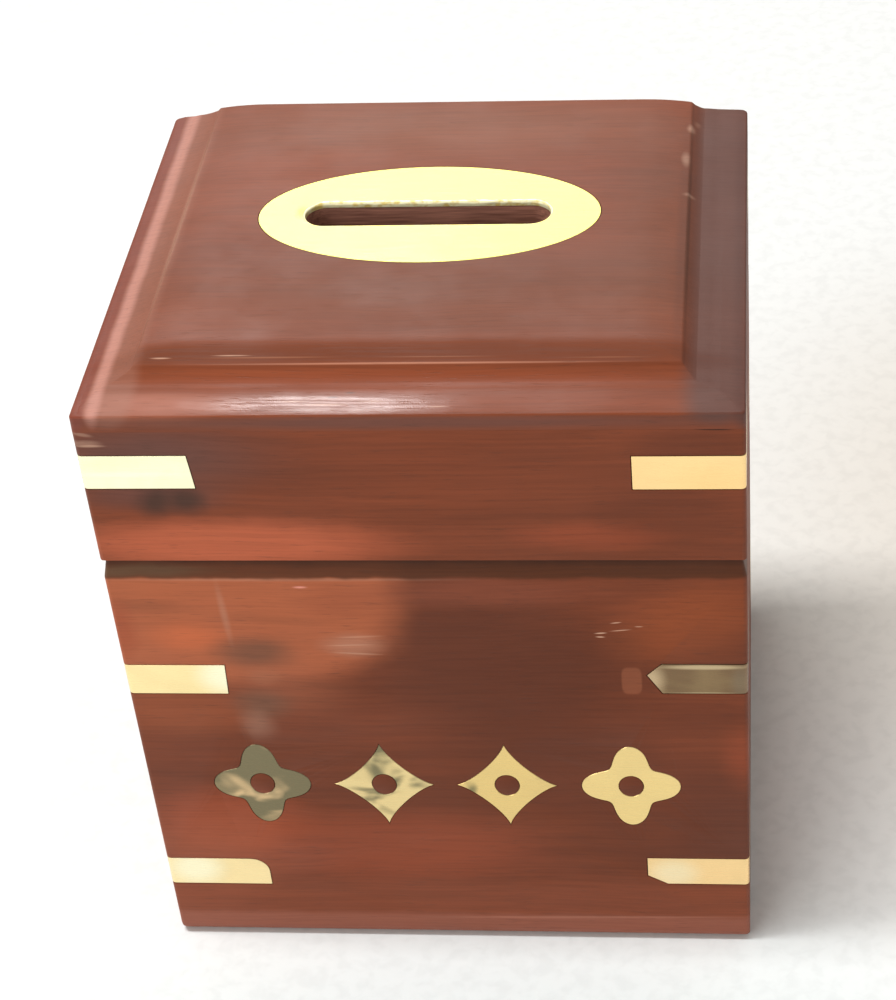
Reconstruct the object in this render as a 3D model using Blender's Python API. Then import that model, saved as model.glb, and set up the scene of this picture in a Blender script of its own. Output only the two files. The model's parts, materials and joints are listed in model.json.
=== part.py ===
"""A small rosewood coin bank: a board-built box with a hinged lid, a brass coin-slot plate on top,
brass corner straps and four brass inlays, all let in flush. Metres, +Z up, front towards -Y,
origin under the middle of the box, on the surface it stands on."""

import math

import bmesh
import bpy

MM = 0.001

# The box
WIDTH = 102 * MM
DEPTH = 89 * MM
WALL = 9 * MM
BODY_HEIGHT = 87.3 * MM
SEAM_GAP = 0.3 * MM
LID_RAIL_HEIGHT = 25.4 * MM
BASE_THICKNESS = 6 * MM
GLUE_GAP = 0.1 * MM
CORNER_RADIUS = 0.8 * MM
FOOT_RADIUS = 2.4 * MM
SIDE_FOOT_RADIUS = 0.8 * MM
SHADOW_BEVEL_HEIGHT = 3.4 * MM
SHADOW_BEVEL_DEPTH = 0.7 * MM
ARC_STEPS = 3

# The lid's top board: moulded on the front and both sides, plain at the back
TOP_EDGE_HEIGHT = 2.8 * MM
TOP_EDGE_ROUND = 0.35 * MM
MOULD_FRONT = 10.3 * MM
MOULD_LEFT = 8.6 * MM
MOULD_RIGHT = 9.9 * MM
TREAD_END = 0.53
TREAD_RISE = 0.5 * MM
RISER_END = 0.61
RISER_RISE = 0.3 * MM
COVE_END = 0.93
COVE_RISE = 1.1 * MM
ARRIS_RISE = 0.5 * MM
CROWN_RUN = 8 * MM
CROWN_RISE = 0.6 * MM
PANEL_CORNER_RADIUS = 0.2 * MM

# The coin slot and its plate
PLATE_CENTRE_X = -1.2 * MM
PLATE_CENTRE_Y = 7.4 * MM
PLATE_LENGTH = 56.8 * MM
PLATE_WIDTH = 29.6 * MM
PLATE_THICKNESS = 0.9 * MM
PLATE_STEPS = 56
SLOT_CENTRE_X = -1.4 * MM
SLOT_LENGTH = 40.8 * MM
SLOT_WIDTH = 7 * MM
SLOT_STEPS = 7

# Brass let into the wood
BRASS_THICKNESS = 1.0 * MM
INLAY_GAP = 0.12 * MM
STRAP_WIDTH = 6.35 * MM
STRAP_SIDE_LENGTH = 17 * MM
LID_STRAP_Z = (102.1 * MM, 101.6 * MM)
UPPER_STRAP_Z = (58.95 * MM, 59.45 * MM)
LOWER_STRAP_Z = (13.05 * MM, 14.3 * MM)
INLAY_PITCH = 20.9 * MM
INLAY_CENTRE_Z = 38.1 * MM
INLAY_HALF_WIDTH = 8.2 * MM
INLAY_HALF_HEIGHT = 9.1 * MM
EYE_HALF_WIDTH = 2.2 * MM
EYE_HALF_HEIGHT = 2.5 * MM
INLAY_STEPS = 40

# The two butt hinges, let into the meeting edges at the back
HINGE_X = 27 * MM
HINGE_LENGTH = 20 * MM
HINGE_INSET = 2.2 * MM
STOP_ANGLE = math.radians(50)
LEAF_THICKNESS = 0.9 * MM
LEAF_REACH = 5.9 * MM
LEAF_CLEAR = 2.0 * MM
BARREL_RADIUS = 1.5 * MM
BARREL_CLEAR = 0.35 * MM
KNUCKLE_HALF = 3.2 * MM
KNUCKLE_GAP = 0.3 * MM
PIN_RADIUS = 0.5 * MM
PIN_HOLE_RADIUS = 0.7 * MM
SCREW_OFFSET_X = 6.4 * MM
SCREW_OFFSET_Y = 3.95 * MM
SCREW_HEAD_RADIUS = 1.2 * MM
SCREW_SHANK_RADIUS = 0.7 * MM
SCREW_HEAD_DEPTH = 0.7 * MM
SCREW_LENGTH = 6.5 * MM
SCREW_CLEAR = 0.2 * MM
ROUND_STEPS = 12
CUT_PAST = 1 * MM

# Worked out from the above
HALF_WIDTH = WIDTH / 2
HALF_DEPTH = DEPTH / 2
LID_BOTTOM = BODY_HEIGHT + SEAM_GAP
RAIL_TOP = LID_BOTTOM + LID_RAIL_HEIGHT
TOP_BOARD_BOTTOM = RAIL_TOP + GLUE_GAP
MOULD_EDGE = TOP_BOARD_BOTTOM + TOP_EDGE_HEIGHT
ARRIS_HEIGHT = MOULD_EDGE + TREAD_RISE + RISER_RISE + COVE_RISE + ARRIS_RISE
TOP_HEIGHT = ARRIS_HEIGHT + CROWN_RISE
AXIS_Y = HALF_DEPTH - HINGE_INSET
AXIS_Z = BODY_HEIGHT + SEAM_GAP / 2
STOP_BEVEL_HEIGHT = HINGE_INSET * math.tan(STOP_ANGLE)


# Helpers


def clear_scene():
    for obj in list(bpy.data.objects):
        bpy.data.objects.remove(obj)


def make_material(name, colour, roughness, metallic):
    material = bpy.data.materials.new(name)
    material.use_nodes = True
    shader = material.node_tree.nodes["Principled BSDF"]
    shader.inputs["Base Color"].default_value = (*colour, 1)
    shader.inputs["Roughness"].default_value = roughness
    shader.inputs["Metallic"].default_value = metallic
    material.diffuse_color = (*colour, 1)
    return material


def make_group(name, y=0.0, z=0.0):
    """An empty that the pieces of one moving body hang from."""
    group = bpy.data.objects.new(name, None)
    group.location = (0, y, z)
    bpy.context.collection.objects.link(group)
    return group


def solid_mesh(name, points, faces):
    mesh = bpy.data.meshes.new(name)
    mesh.from_pydata(points, [], faces)
    shape = bmesh.new()
    shape.from_mesh(mesh)
    bmesh.ops.recalc_face_normals(shape, faces=shape.faces)
    shape.to_mesh(mesh)
    shape.free()
    return mesh


def loft(name, rings, closed=False):
    """A mesh through rings of equal length, capped at both ends, or running back to its first ring."""
    count = len(rings[0])
    points = [point for ring in rings for point in ring]
    faces = []
    spans = len(rings) if closed else len(rings) - 1
    for span in range(spans):
        here = span * count
        there = (span + 1) % len(rings) * count
        for i in range(count):
            j = (i + 1) % count
            faces.append((here + i, here + j, there + j, there + i))
    if not closed:
        faces.append(tuple(range(count)))
        faces.append(tuple(range(spans * count, (spans + 1) * count)))
    return solid_mesh(name, points, faces)


def box_mesh(name, x, y, z):
    corners = ((x[0], y[0]), (x[1], y[0]), (x[1], y[1]), (x[0], y[1]))
    return loft(name, [flat(corners, height) for height in z])


def place(name, mesh, group, material=None, at=(0, 0, 0)):
    """An object whose mesh is in the box's frame, moved by at, and hung from its body's group."""
    obj = bpy.data.objects.new(name, mesh)
    bpy.context.collection.objects.link(obj)
    obj.parent = group
    obj.location = [a - b for a, b in zip(at, group.location)]
    if material:
        mesh.materials.clear()
        mesh.materials.append(material)
    return obj


def helper(name, mesh, group, at=(0, 0, 0)):
    """A cutter or a joining piece, which isn't part of the object."""
    obj = place(name, mesh, group, at=at)
    obj.hide_render = True
    obj.display_type = "WIRE"
    return obj


def combine(obj, other, operation="DIFFERENCE"):
    modifier = obj.modifiers.new(other.name, "BOOLEAN")
    modifier.operation = operation
    modifier.solver = "EXACT"
    modifier.object = other


def smooth_round_faces(mesh):
    mesh.shade_smooth()
    mesh.set_sharp_from_angle(angle=math.radians(35))


# Outlines


def arc(centre, radius, start, end, steps):
    """Points on a quarter or part circle, angles in degrees."""
    angles = [math.radians(start + (end - start) * i / steps) for i in range(steps + 1)]
    return [(centre[0] + radius * math.cos(a), centre[1] + radius * math.sin(a)) for a in angles]


def rounded_rectangle(x, y, radii):
    """Corners from (x0, y0) anticlockwise. A radius of None leaves that corner as one point."""
    lower = ((x[0], y[0], 1, 1, 180), (x[1], y[0], -1, 1, 270))
    upper = ((x[1], y[1], -1, -1, 0), (x[0], y[1], 1, -1, 90))
    points = []
    for (cx, cy, sx, sy, start), radius in zip(lower + upper, radii):
        if radius is None:
            points.append((cx, cy))
        else:
            points += arc((cx + sx * radius, cy + sy * radius), radius, start, start + 90, ARC_STEPS)
    return points


def ellipse(centre, half_x, half_y, steps):
    turn = [2 * math.pi * i / steps for i in range(steps)]
    return [(centre[0] + half_x * math.cos(a), centre[1] + half_y * math.sin(a)) for a in turn]


def round_ended_slot(centre, length, width, steps):
    reach = (length - width) / 2
    right = arc((centre[0] + reach, centre[1]), width / 2, -90, 90, steps)
    left = arc((centre[0] - reach, centre[1]), width / 2, 90, 270, steps)
    return right + left


def grown(outline, distance):
    """An anticlockwise outline moved outwards by a distance, with mitred corners."""
    count = len(outline)
    points = []
    for i, (x, y) in enumerate(outline):
        before, after = outline[i - 1], outline[(i + 1) % count]
        ax, ay = x - before[0], y - before[1]
        bx, by = after[0] - x, after[1] - y
        a, b = math.hypot(ax, ay), math.hypot(bx, by)
        nx, ny = ay / a + by / b, -ax / a - bx / b
        stretch = 2 * distance / max(nx * nx + ny * ny, 1)
        points.append((x + nx * stretch, y + ny * stretch))
    return points


def flat(outline, z):
    return [(x, y, z) for x, y in outline]


def upright(outline, y):
    return [(x, y, z) for x, z in outline]


# Boards of the body


def shadow_inset(z, foot=FOOT_RADIUS):
    """How far an outer face stands back at a height: the round foot and the bevel under the lid."""
    if z < foot:
        return foot - math.sqrt(foot**2 - (foot - z) ** 2)
    past = max(0, z - (BODY_HEIGHT - SHADOW_BEVEL_HEIGHT)) / SHADOW_BEVEL_HEIGHT
    return past * SHADOW_BEVEL_DEPTH


def stop_inset(z):
    """The same for the back face, where the bevel is the lid's stop."""
    if z < FOOT_RADIUS:
        return shadow_inset(z)
    return max(0, z - (BODY_HEIGHT - STOP_BEVEL_HEIGHT)) / math.tan(STOP_ANGLE)


def board_levels():
    foot = [FOOT_RADIUS * (1 - math.cos(math.radians(a))) for a in (0, 25, 45, 65, 90)]
    top = [BODY_HEIGHT - SHADOW_BEVEL_HEIGHT, BODY_HEIGHT - STOP_BEVEL_HEIGHT, BODY_HEIGHT]
    return foot + top


def end_board(name, side):
    """The front board (side -1) or the back board (side 1), which run the full width."""
    rings = []
    for z in board_levels():
        ends = HALF_WIDTH - shadow_inset(z, SIDE_FOOT_RADIUS)
        face = HALF_DEPTH - (stop_inset(z) if side > 0 else shadow_inset(z))
        inner = HALF_DEPTH - WALL
        y = (-face, -inner) if side < 0 else (inner, face)
        radii = (CORNER_RADIUS, CORNER_RADIUS, None, None)
        if side > 0:
            radii = (None, None, CORNER_RADIUS, CORNER_RADIUS)
        rings.append(flat(rounded_rectangle((-ends, ends), y, radii), z))
    return loft(name, rings)


def side_board(name, side):
    """The left board (side -1) or the right board (side 1), held between the other two."""
    reach = HALF_DEPTH - WALL - GLUE_GAP
    inner = HALF_WIDTH - WALL
    rings = []
    for z in board_levels():
        outer = HALF_WIDTH - shadow_inset(z, SIDE_FOOT_RADIUS)
        x = (-outer, -inner) if side < 0 else (inner, outer)
        rings.append(flat(rounded_rectangle(x, (-reach, reach), (None,) * 4), z))
    return loft(name, rings)


def make_boards(body, wood, plain_wood):
    boards = {}
    for name, side in (("front_board", -1), ("back_board", 1)):
        boards[name] = place(name, end_board(name, side), body, wood)
    for name, side in (("left_board", -1), ("right_board", 1)):
        boards[name] = place(name, side_board(name, side), body, wood)
    x = HALF_WIDTH - WALL - GLUE_GAP
    y = HALF_DEPTH - WALL - GLUE_GAP
    base = box_mesh("base_panel", (-x, x), (-y, y), (0, BASE_THICKNESS))
    place("base_panel", base, body, plain_wood)
    return boards


# The lid


def lid_end_rail(name, side):
    """The lid's front rail (side -1), or its back rail (side 1) with the bevel that stops the lid."""
    inner = HALF_DEPTH - WALL
    rings = []
    for z in (LID_BOTTOM, LID_BOTTOM + STOP_BEVEL_HEIGHT, RAIL_TOP):
        bevel = HINGE_INSET if side > 0 and z == LID_BOTTOM else 0
        face = HALF_DEPTH - bevel
        y = (-face, -inner) if side < 0 else (inner, face)
        radii = (CORNER_RADIUS, CORNER_RADIUS, None, None)
        if side > 0:
            radii = (None, None, CORNER_RADIUS, CORNER_RADIUS)
        rings.append(flat(rounded_rectangle((-HALF_WIDTH, HALF_WIDTH), y, radii), z))
    return loft(name, rings)


def lid_side_rail(name, side):
    reach = HALF_DEPTH - WALL - GLUE_GAP
    inner = HALF_WIDTH - WALL
    x = (-HALF_WIDTH, -inner) if side < 0 else (inner, HALF_WIDTH)
    return box_mesh(name, x, (-reach, reach), (LID_BOTTOM, RAIL_TOP))


def moulding_profile():
    """(share of the moulding's width, further inset, height), from the lower edge to the flat top."""
    profile = [(0, 0, TOP_BOARD_BOTTOM)]
    for x, z in arc((TOP_EDGE_ROUND, MOULD_EDGE - TOP_EDGE_ROUND), TOP_EDGE_ROUND, 180, 90, ARC_STEPS):
        profile.append((0, x, z))
    tread = MOULD_EDGE + TREAD_RISE
    profile.append((TREAD_END, 0, tread))
    riser = tread + RISER_RISE
    profile.append((RISER_END, 0, riser))
    for t in (0.3, 0.6, 0.85, 1):
        share = RISER_END + (COVE_END - RISER_END) * t
        profile.append((share, 0, riser + COVE_RISE * t * (1 + t) / 2))
    for t in (0.4, 1):
        share = COVE_END + (1 - COVE_END) * t
        profile.append((share, 0, ARRIS_HEIGHT - ARRIS_RISE * (1 - t) ** 2))
    for t in (0.25, 0.6, 1):
        profile.append((1, CROWN_RUN * t, ARRIS_HEIGHT + CROWN_RISE * t * (2 - t)))
    return profile


def top_board_mesh(name):
    rings = []
    for share, run, z in moulding_profile():
        left = share * MOULD_LEFT + run
        right = share * MOULD_RIGHT + run
        front = share * MOULD_FRONT + run
        radius = max(CORNER_RADIUS * (1 - share), PANEL_CORNER_RADIUS)
        x = (-HALF_WIDTH + left, HALF_WIDTH - right)
        y = (-HALF_DEPTH + front, HALF_DEPTH)
        rings.append(flat(rounded_rectangle(x, y, (radius,) * 4), z))
    return loft(name, rings)


def make_lid_wood(lid, wood):
    parts = {}
    for name, side in (("lid_front_rail", -1), ("lid_back_rail", 1)):
        parts[name] = place(name, lid_end_rail(name, side), lid, wood)
    for name, side in (("lid_left_rail", -1), ("lid_right_rail", 1)):
        parts[name] = place(name, lid_side_rail(name, side), lid, wood)
    parts["lid_top_board"] = place("lid_top_board", top_board_mesh("lid_top_board"), lid, wood)
    return parts


def make_slot_plate(lid, top_board, brass):
    centre = (PLATE_CENTRE_X, PLATE_CENTRE_Y)
    plate_outline = ellipse(centre, PLATE_LENGTH / 2, PLATE_WIDTH / 2, PLATE_STEPS)
    slot_centre = (SLOT_CENTRE_X, PLATE_CENTRE_Y)
    slot_outline = round_ended_slot(slot_centre, SLOT_LENGTH, SLOT_WIDTH, SLOT_STEPS)
    below, above = TOP_BOARD_BOTTOM - CUT_PAST, TOP_HEIGHT + CUT_PAST
    seat = TOP_HEIGHT - PLATE_THICKNESS - INLAY_GAP

    mesh = loft("slot_plate", [flat(plate_outline, z) for z in (TOP_HEIGHT - PLATE_THICKNESS, TOP_HEIGHT)])
    plate = place("slot_plate", mesh, lid, brass)
    slot = loft("slot_in_plate", [flat(slot_outline, z) for z in (below, above)])
    combine(plate, helper("slot_in_plate", slot, lid))

    pocket = loft("plate_pocket", [flat(grown(plate_outline, INLAY_GAP), z) for z in (seat, above)])
    combine(top_board, helper("plate_pocket", pocket, lid))
    wood_slot = loft("slot_in_wood", [flat(grown(slot_outline, INLAY_GAP), z) for z in (below, above)])
    combine(top_board, helper("slot_in_wood", wood_slot, lid))


# Corner straps


def square_end(length):
    return [(length, 0), (length, STRAP_WIDTH)]


def slanted_end(short, long):
    return [(short, 0), (long, STRAP_WIDTH)]


def pointed_end(shoulder, tip):
    return [(shoulder, 0), (tip, 0.62 * STRAP_WIDTH), (shoulder, STRAP_WIDTH)]


def round_shouldered_end(length, radius):
    """The end whose upper corner is rounded away."""
    return [(length, 0)] + arc((length - radius, STRAP_WIDTH - radius), radius, 0, 90, 2 * ARC_STEPS)


def cut_corner_end(length, cut):
    """The end whose lower corner is cut off."""
    return [(length - cut, 0), (length, 0.6 * cut), (length, STRAP_WIDTH)]


def strap_mesh(name, sides, low, end, outer=0.0, depth=BRASS_THICKNESS, grow=0.0, radius=CORNER_RADIUS):
    """An L-shaped strap round one corner. Local s runs along the front or back, t along the side,
    both from the corner; outer moves the outer faces, grow widens the outline all round."""
    side_x, side_y = sides
    outline = [(-CUT_PAST, 0)] + end + [(-CUT_PAST, STRAP_WIDTH)]
    tip = [(s, low + z) for s, z in grown(outline, grow)[1:-1]] if grow else [(s, low + z) for s, z in end]
    bottom, top = low - grow, low + STRAP_WIDTH + grow
    corner = arc((radius, radius), radius - outer, 270, 180, ARC_STEPS) if radius else [(outer, outer)]
    side_end = STRAP_SIDE_LENGTH + grow

    points, index = [], {}

    def at(s, t, z):
        key = (round(s, 7), round(t, 7), round(z, 7))
        if key not in index:
            index[key] = len(points)
            points.append((side_x * (HALF_WIDTH - s), side_y * (HALF_DEPTH - t), z))
        return index[key]

    def across(path):
        """One quad for each step of a path in plan, from the strap's lower edge to its upper edge."""
        return [(at(*a, bottom), at(*b, bottom), at(*b, top), at(*a, top)) for a, b in zip(path, path[1:])]

    faces = across(corner + [(outer, side_end), (depth, side_end), (depth, depth)])
    for t, start in ((outer, corner[0]), (depth, (depth, depth))):
        faces.append([at(*start, bottom)] + [at(s, t, z) for s, z in tip] + [at(*start, top)])
    for (s, z), (s2, z2) in zip(tip, tip[1:]):
        faces.append([at(s, outer, z), at(s2, outer, z2), at(s2, depth, z2), at(s, depth, z)])
    for z, s in ((bottom, tip[0][0]), (top, tip[-1][0])):
        plan = corner + [(outer, side_end), (depth, side_end), (depth, depth), (s, depth), (s, outer)]
        faces.append([at(*point, z) for point in plan])
    return solid_mesh(name, points, faces)


def add_strap(name, sides, low, end, group, hosts, brass):
    """One strap, and its pocket in the two boards that meet at its corner."""
    place(name, strap_mesh(name, sides, low, end), group, brass)
    deep = BRASS_THICKNESS + INLAY_GAP
    pocket = strap_mesh(name + "_pocket", sides, low, end, -CUT_PAST, deep, INLAY_GAP, 0)
    cutter = helper(name + "_pocket", pocket, group)
    for host in hosts:
        combine(host, cutter)


def make_straps(row, lows, front_ends, group, wood_parts, names, brass):
    """Four straps of one row, whose lower edges are at the heights lows on the left and the right.
    names are the host boards: front, back, left, right."""
    front, back, left, right = (wood_parts[name] for name in names)
    plain = square_end(STRAP_SIDE_LENGTH)
    add_strap(row + "_front_left", (-1, -1), lows[0], front_ends[0], group, (front, left), brass)
    add_strap(row + "_front_right", (1, -1), lows[1], front_ends[1], group, (front, right), brass)
    add_strap(row + "_back_left", (-1, 1), lows[0], plain, group, (back, left), brass)
    add_strap(row + "_back_right", (1, 1), lows[1], plain, group, (back, right), brass)


def make_all_straps(body, lid, boards, lid_parts, brass):
    board_names = ("front_board", "back_board", "left_board", "right_board")
    rail_names = ("lid_front_rail", "lid_back_rail", "lid_left_rail", "lid_right_rail")
    lid_ends = (slanted_end(17.6 * MM, 17.0 * MM), square_end(17.2 * MM))
    upper_ends = (slanted_end(16.7 * MM, 16.9 * MM), pointed_end(13.8 * MM, 16.2 * MM))
    lower_ends = (round_shouldered_end(18.1 * MM, 3.1 * MM), cut_corner_end(17.5 * MM, 3.4 * MM))
    make_straps("lid_strap", LID_STRAP_Z, lid_ends, lid, lid_parts, rail_names, brass)
    make_straps("upper_strap", UPPER_STRAP_Z, upper_ends, body, boards, board_names, brass)
    make_straps("lower_strap", LOWER_STRAP_Z, lower_ends, body, boards, board_names, brass)


# Front inlays


def inlay_point(centre, across, up):
    """A point of an inlay's outline, as shares of its half width and half height from its centre."""
    return (centre + across * INLAY_HALF_WIDTH, INLAY_CENTRE_Z + up * INLAY_HALF_HEIGHT)


def quatrefoil(centre):
    """Four round lobes with a notch between each two."""
    points = []
    for i in range(INLAY_STEPS):
        a = 2 * math.pi * i / INLAY_STEPS
        reach = 0.8 + 0.2 * math.cos(4 * a)
        c, s = math.cos(a), math.sin(a)
        points.append(inlay_point(centre, reach * c, reach * s))
    return points


def concave_lozenge(centre):
    """Four points joined by sides that curve inwards."""
    points = []
    for i in range(INLAY_STEPS):
        a = 2 * math.pi * i / INLAY_STEPS
        c, s = math.cos(a), math.sin(a)
        reach = 1 / (abs(c) ** 0.8 + abs(s) ** 0.8) ** 1.25
        points.append(inlay_point(centre, reach * c, reach * s))
    return points


def ring_mesh(name, outer, inner, y_front, y_back):
    rings = [upright(outer, y_front), upright(outer, y_back), upright(inner, y_back), upright(inner, y_front)]
    return loft(name, rings, closed=True)


def make_front_inlays(body, front_board, brass):
    """Four ornaments with a wooden eye, in a row across the front."""
    face = -HALF_DEPTH
    patterns = (quatrefoil, concave_lozenge, concave_lozenge, quatrefoil)
    for number, pattern in enumerate(patterns, 1):
        centre = (number - 2.5) * INLAY_PITCH
        outer = pattern(centre)
        inner = ellipse((centre, INLAY_CENTRE_Z), EYE_HALF_WIDTH, EYE_HALF_HEIGHT, INLAY_STEPS)
        name = f"front_inlay_{number}"
        place(name, ring_mesh(name, outer, inner, face, face + BRASS_THICKNESS), body, brass)
        wider, narrower = grown(outer, INLAY_GAP), grown(inner, -INLAY_GAP)
        deep = face + BRASS_THICKNESS + INLAY_GAP
        pocket = ring_mesh(name + "_pocket", wider, narrower, face - CUT_PAST, deep)
        combine(front_board, helper(name + "_pocket", pocket, body))


# Hinges


def turned_along_x(name, x, radius, centre=(AXIS_Y, AXIS_Z)):
    outline = ellipse(centre, radius, radius, ROUND_STEPS)
    return loft(name, [[(c, y, z) for y, z in outline] for c in x])


def hinge_leaf(name, x, group, upper, brass):
    """One leaf. The body's leaf carries the two outer knuckles, the lid's leaf the middle one."""
    half = HINGE_LENGTH / 2
    outer = KNUCKLE_HALF + KNUCKLE_GAP
    spans = [(-KNUCKLE_HALF, KNUCKLE_HALF)] if upper else [(-half, -outer), (outer, half)]
    z = (LID_BOTTOM, LID_BOTTOM + LEAF_THICKNESS) if upper else (BODY_HEIGHT - LEAF_THICKNESS, BODY_HEIGHT)
    plate = box_mesh(name, (x - half, x + half), (AXIS_Y - LEAF_REACH, AXIS_Y - LEAF_CLEAR), z)
    leaf = place(name, plate, group, brass)
    for number, (start, end) in enumerate(spans):
        span = (x + start, x + end)
        tongue = box_mesh(f"{name}_tongue_{number}", span, (AXIS_Y - LEAF_CLEAR - LEAF_THICKNESS, AXIS_Y), z)
        knuckle = turned_along_x(f"{name}_knuckle_{number}", span, BARREL_RADIUS)
        combine(leaf, helper(tongue.name, tongue, group), "UNION")
        combine(leaf, helper(knuckle.name, knuckle, group), "UNION")
    bore = turned_along_x(f"{name}_bore", (x - half - CUT_PAST, x + half + CUT_PAST), PIN_HOLE_RADIUS)
    combine(leaf, helper(bore.name, bore, group))
    return leaf


def screw_profile(extra=0.0):
    """(radius, depth below the leaf's face) of a countersunk screw, or of the room it needs."""
    tip = SCREW_LENGTH - 1.2 * MM
    return [
        (SCREW_HEAD_RADIUS + extra, 0.05 * MM - (CUT_PAST if extra else 0)),
        (SCREW_HEAD_RADIUS + extra, 0.12 * MM),
        (SCREW_SHANK_RADIUS + extra, SCREW_HEAD_DEPTH + 0.05 * MM),
        (SCREW_SHANK_RADIUS + extra, tip + extra),
        (0.15 * MM + extra, SCREW_LENGTH + extra),
    ]


def screw_mesh(name, up, extra=0.0):
    """A screw that points up or down (up is 1 or -1) from the face that its head is let into."""
    rings = []
    for radius, depth in screw_profile(extra):
        rings.append(flat(ellipse((0, 0), radius, radius, ROUND_STEPS), up * depth))
    return loft(name, rings)


def make_hinge(side, body, lid, back_board, back_rail, brass):
    x = HINGE_X * (-1 if side == "left" else 1)
    half = HINGE_LENGTH / 2 + KNUCKLE_GAP
    barrel = turned_along_x(f"hinge_{side}_barrel_room", (x - half, x + half), BARREL_RADIUS + BARREL_CLEAR)
    barrel_room = helper(barrel.name, barrel, body)
    for group, board, upper in ((body, back_board, False), (lid, back_rail, True)):
        word = "lid" if upper else "body"
        up = 1 if upper else -1
        face = LID_BOTTOM if upper else BODY_HEIGHT
        leaf = hinge_leaf(f"hinge_{side}_{word}_leaf", x, group, upper, brass)
        seat = sorted((face - up * CUT_PAST, face + up * (LEAF_THICKNESS + 2 * INLAY_GAP)))
        reach = (AXIS_Y - LEAF_REACH - KNUCKLE_GAP, AXIS_Y)
        mortise = box_mesh(f"hinge_{side}_{word}_mortise", (x - half, x + half), reach, seat)
        combine(board, helper(mortise.name, mortise, group))
        combine(board, barrel_room)
        for number, offset in enumerate((-SCREW_OFFSET_X, SCREW_OFFSET_X), 1):
            at = (x + offset, AXIS_Y - SCREW_OFFSET_Y, face)
            name = f"hinge_{side}_{word}_screw_{number}"
            screw = screw_mesh(name, up)
            smooth_round_faces(screw)
            place(name, screw, group, brass, at)
            room = helper(name + "_room", screw_mesh(name + "_room", up, SCREW_CLEAR), group, at)
            combine(leaf, room)
            combine(board, room)
    pin_half = HINGE_LENGTH / 2 - GLUE_GAP
    pin = turned_along_x(f"hinge_{side}_pin", (x - pin_half, x + pin_half), PIN_RADIUS)
    smooth_round_faces(pin)
    place(pin.name, pin, body, brass)


def main():
    clear_scene()
    wood = make_material("rosewood", (0.24, 0.075, 0.04), 0.35, 0)
    plain_wood = make_material("plain_wood", (0.36, 0.2, 0.1), 0.7, 0)
    brass = make_material("brass", (0.83, 0.64, 0.3), 0.25, 1)
    body = make_group("body")
    lid = make_group("lid_hinge_axis", AXIS_Y, AXIS_Z)

    boards = make_boards(body, wood, plain_wood)
    lid_parts = make_lid_wood(lid, wood)
    make_slot_plate(lid, lid_parts["lid_top_board"], brass)
    make_all_straps(body, lid, boards, lid_parts, brass)
    make_front_inlays(body, boards["front_board"], brass)
    for side in ("left", "right"):
        make_hinge(side, body, lid, boards["back_board"], lid_parts["lid_back_rail"], brass)


main()
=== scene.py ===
"""The looks of the rosewood coin bank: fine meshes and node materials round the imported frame.
Metres, +Z up, front towards -Y, as in the frame. Coins go in at the top, the lid turns at the back."""

import json
import math

import bmesh
import bpy
from mathutils import Matrix, Vector, noise

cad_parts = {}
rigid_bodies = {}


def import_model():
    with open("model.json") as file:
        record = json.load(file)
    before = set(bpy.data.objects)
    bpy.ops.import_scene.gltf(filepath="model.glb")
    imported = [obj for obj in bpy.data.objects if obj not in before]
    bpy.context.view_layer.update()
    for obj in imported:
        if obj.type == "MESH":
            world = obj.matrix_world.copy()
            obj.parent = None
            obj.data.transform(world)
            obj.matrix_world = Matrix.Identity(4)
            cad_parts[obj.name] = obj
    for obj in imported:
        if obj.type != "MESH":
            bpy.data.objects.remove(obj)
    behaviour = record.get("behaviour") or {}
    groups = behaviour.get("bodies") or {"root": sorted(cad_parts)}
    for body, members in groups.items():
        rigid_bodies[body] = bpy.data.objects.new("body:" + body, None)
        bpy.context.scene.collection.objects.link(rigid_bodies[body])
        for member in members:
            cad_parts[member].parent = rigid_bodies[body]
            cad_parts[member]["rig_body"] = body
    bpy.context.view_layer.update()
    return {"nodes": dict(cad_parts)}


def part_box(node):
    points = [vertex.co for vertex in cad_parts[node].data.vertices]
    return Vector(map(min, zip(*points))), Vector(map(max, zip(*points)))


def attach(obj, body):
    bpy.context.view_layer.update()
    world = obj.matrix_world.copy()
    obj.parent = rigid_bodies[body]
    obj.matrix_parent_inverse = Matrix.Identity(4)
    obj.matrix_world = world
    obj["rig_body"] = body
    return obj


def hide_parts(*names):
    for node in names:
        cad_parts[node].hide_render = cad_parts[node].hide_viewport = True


MM = 0.001

# The lid's moulded top board, as the frame has it
TOP_EDGE_HEIGHT = 2.8 * MM
TOP_EDGE_ROUND = 0.35 * MM
MOULD_FRONT = 10.3 * MM
MOULD_LEFT = 8.6 * MM
MOULD_RIGHT = 9.9 * MM
TREAD_END = 0.53
TREAD_RISE = 0.5 * MM
RISER_END = 0.61
RISER_RISE = 0.3 * MM
COVE_END = 0.93
COVE_RISE = 1.1 * MM
ARRIS_RISE = 0.5 * MM
CROWN_RUN = 8 * MM
CROWN_RISE = 0.6 * MM
CORNER_RADIUS = 0.8 * MM
PANEL_CORNER_RADIUS = 0.2 * MM

# How the hand-made board differs: where its tread and riser end on each side, as shares of the
# moulding's width, how far its left edge is rubbed down, and how far it is out of true
FRONT_KNEES = (0.49, 0.68)
LEFT_KNEES = (0.36, 0.54)
RIGHT_KNEES = (0.40, 0.74)
LEFT_SHOULDER = 1.3 * MM
HAND_WOBBLE = 0.07 * MM
SLOW_WAVES_PER_METRE = 45
FAST_WAVES_PER_METRE = 170
BACK_LEFT_LIFT = 0.55 * MM
BACK_RIGHT_SINK = 0.65 * MM

# Its mesh: the glue line below it, and its points along each side and round each corner
GLUE_LINE = 0.11 * MM
SIDE_STEPS = 72
CORNER_STEPS = 4

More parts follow.
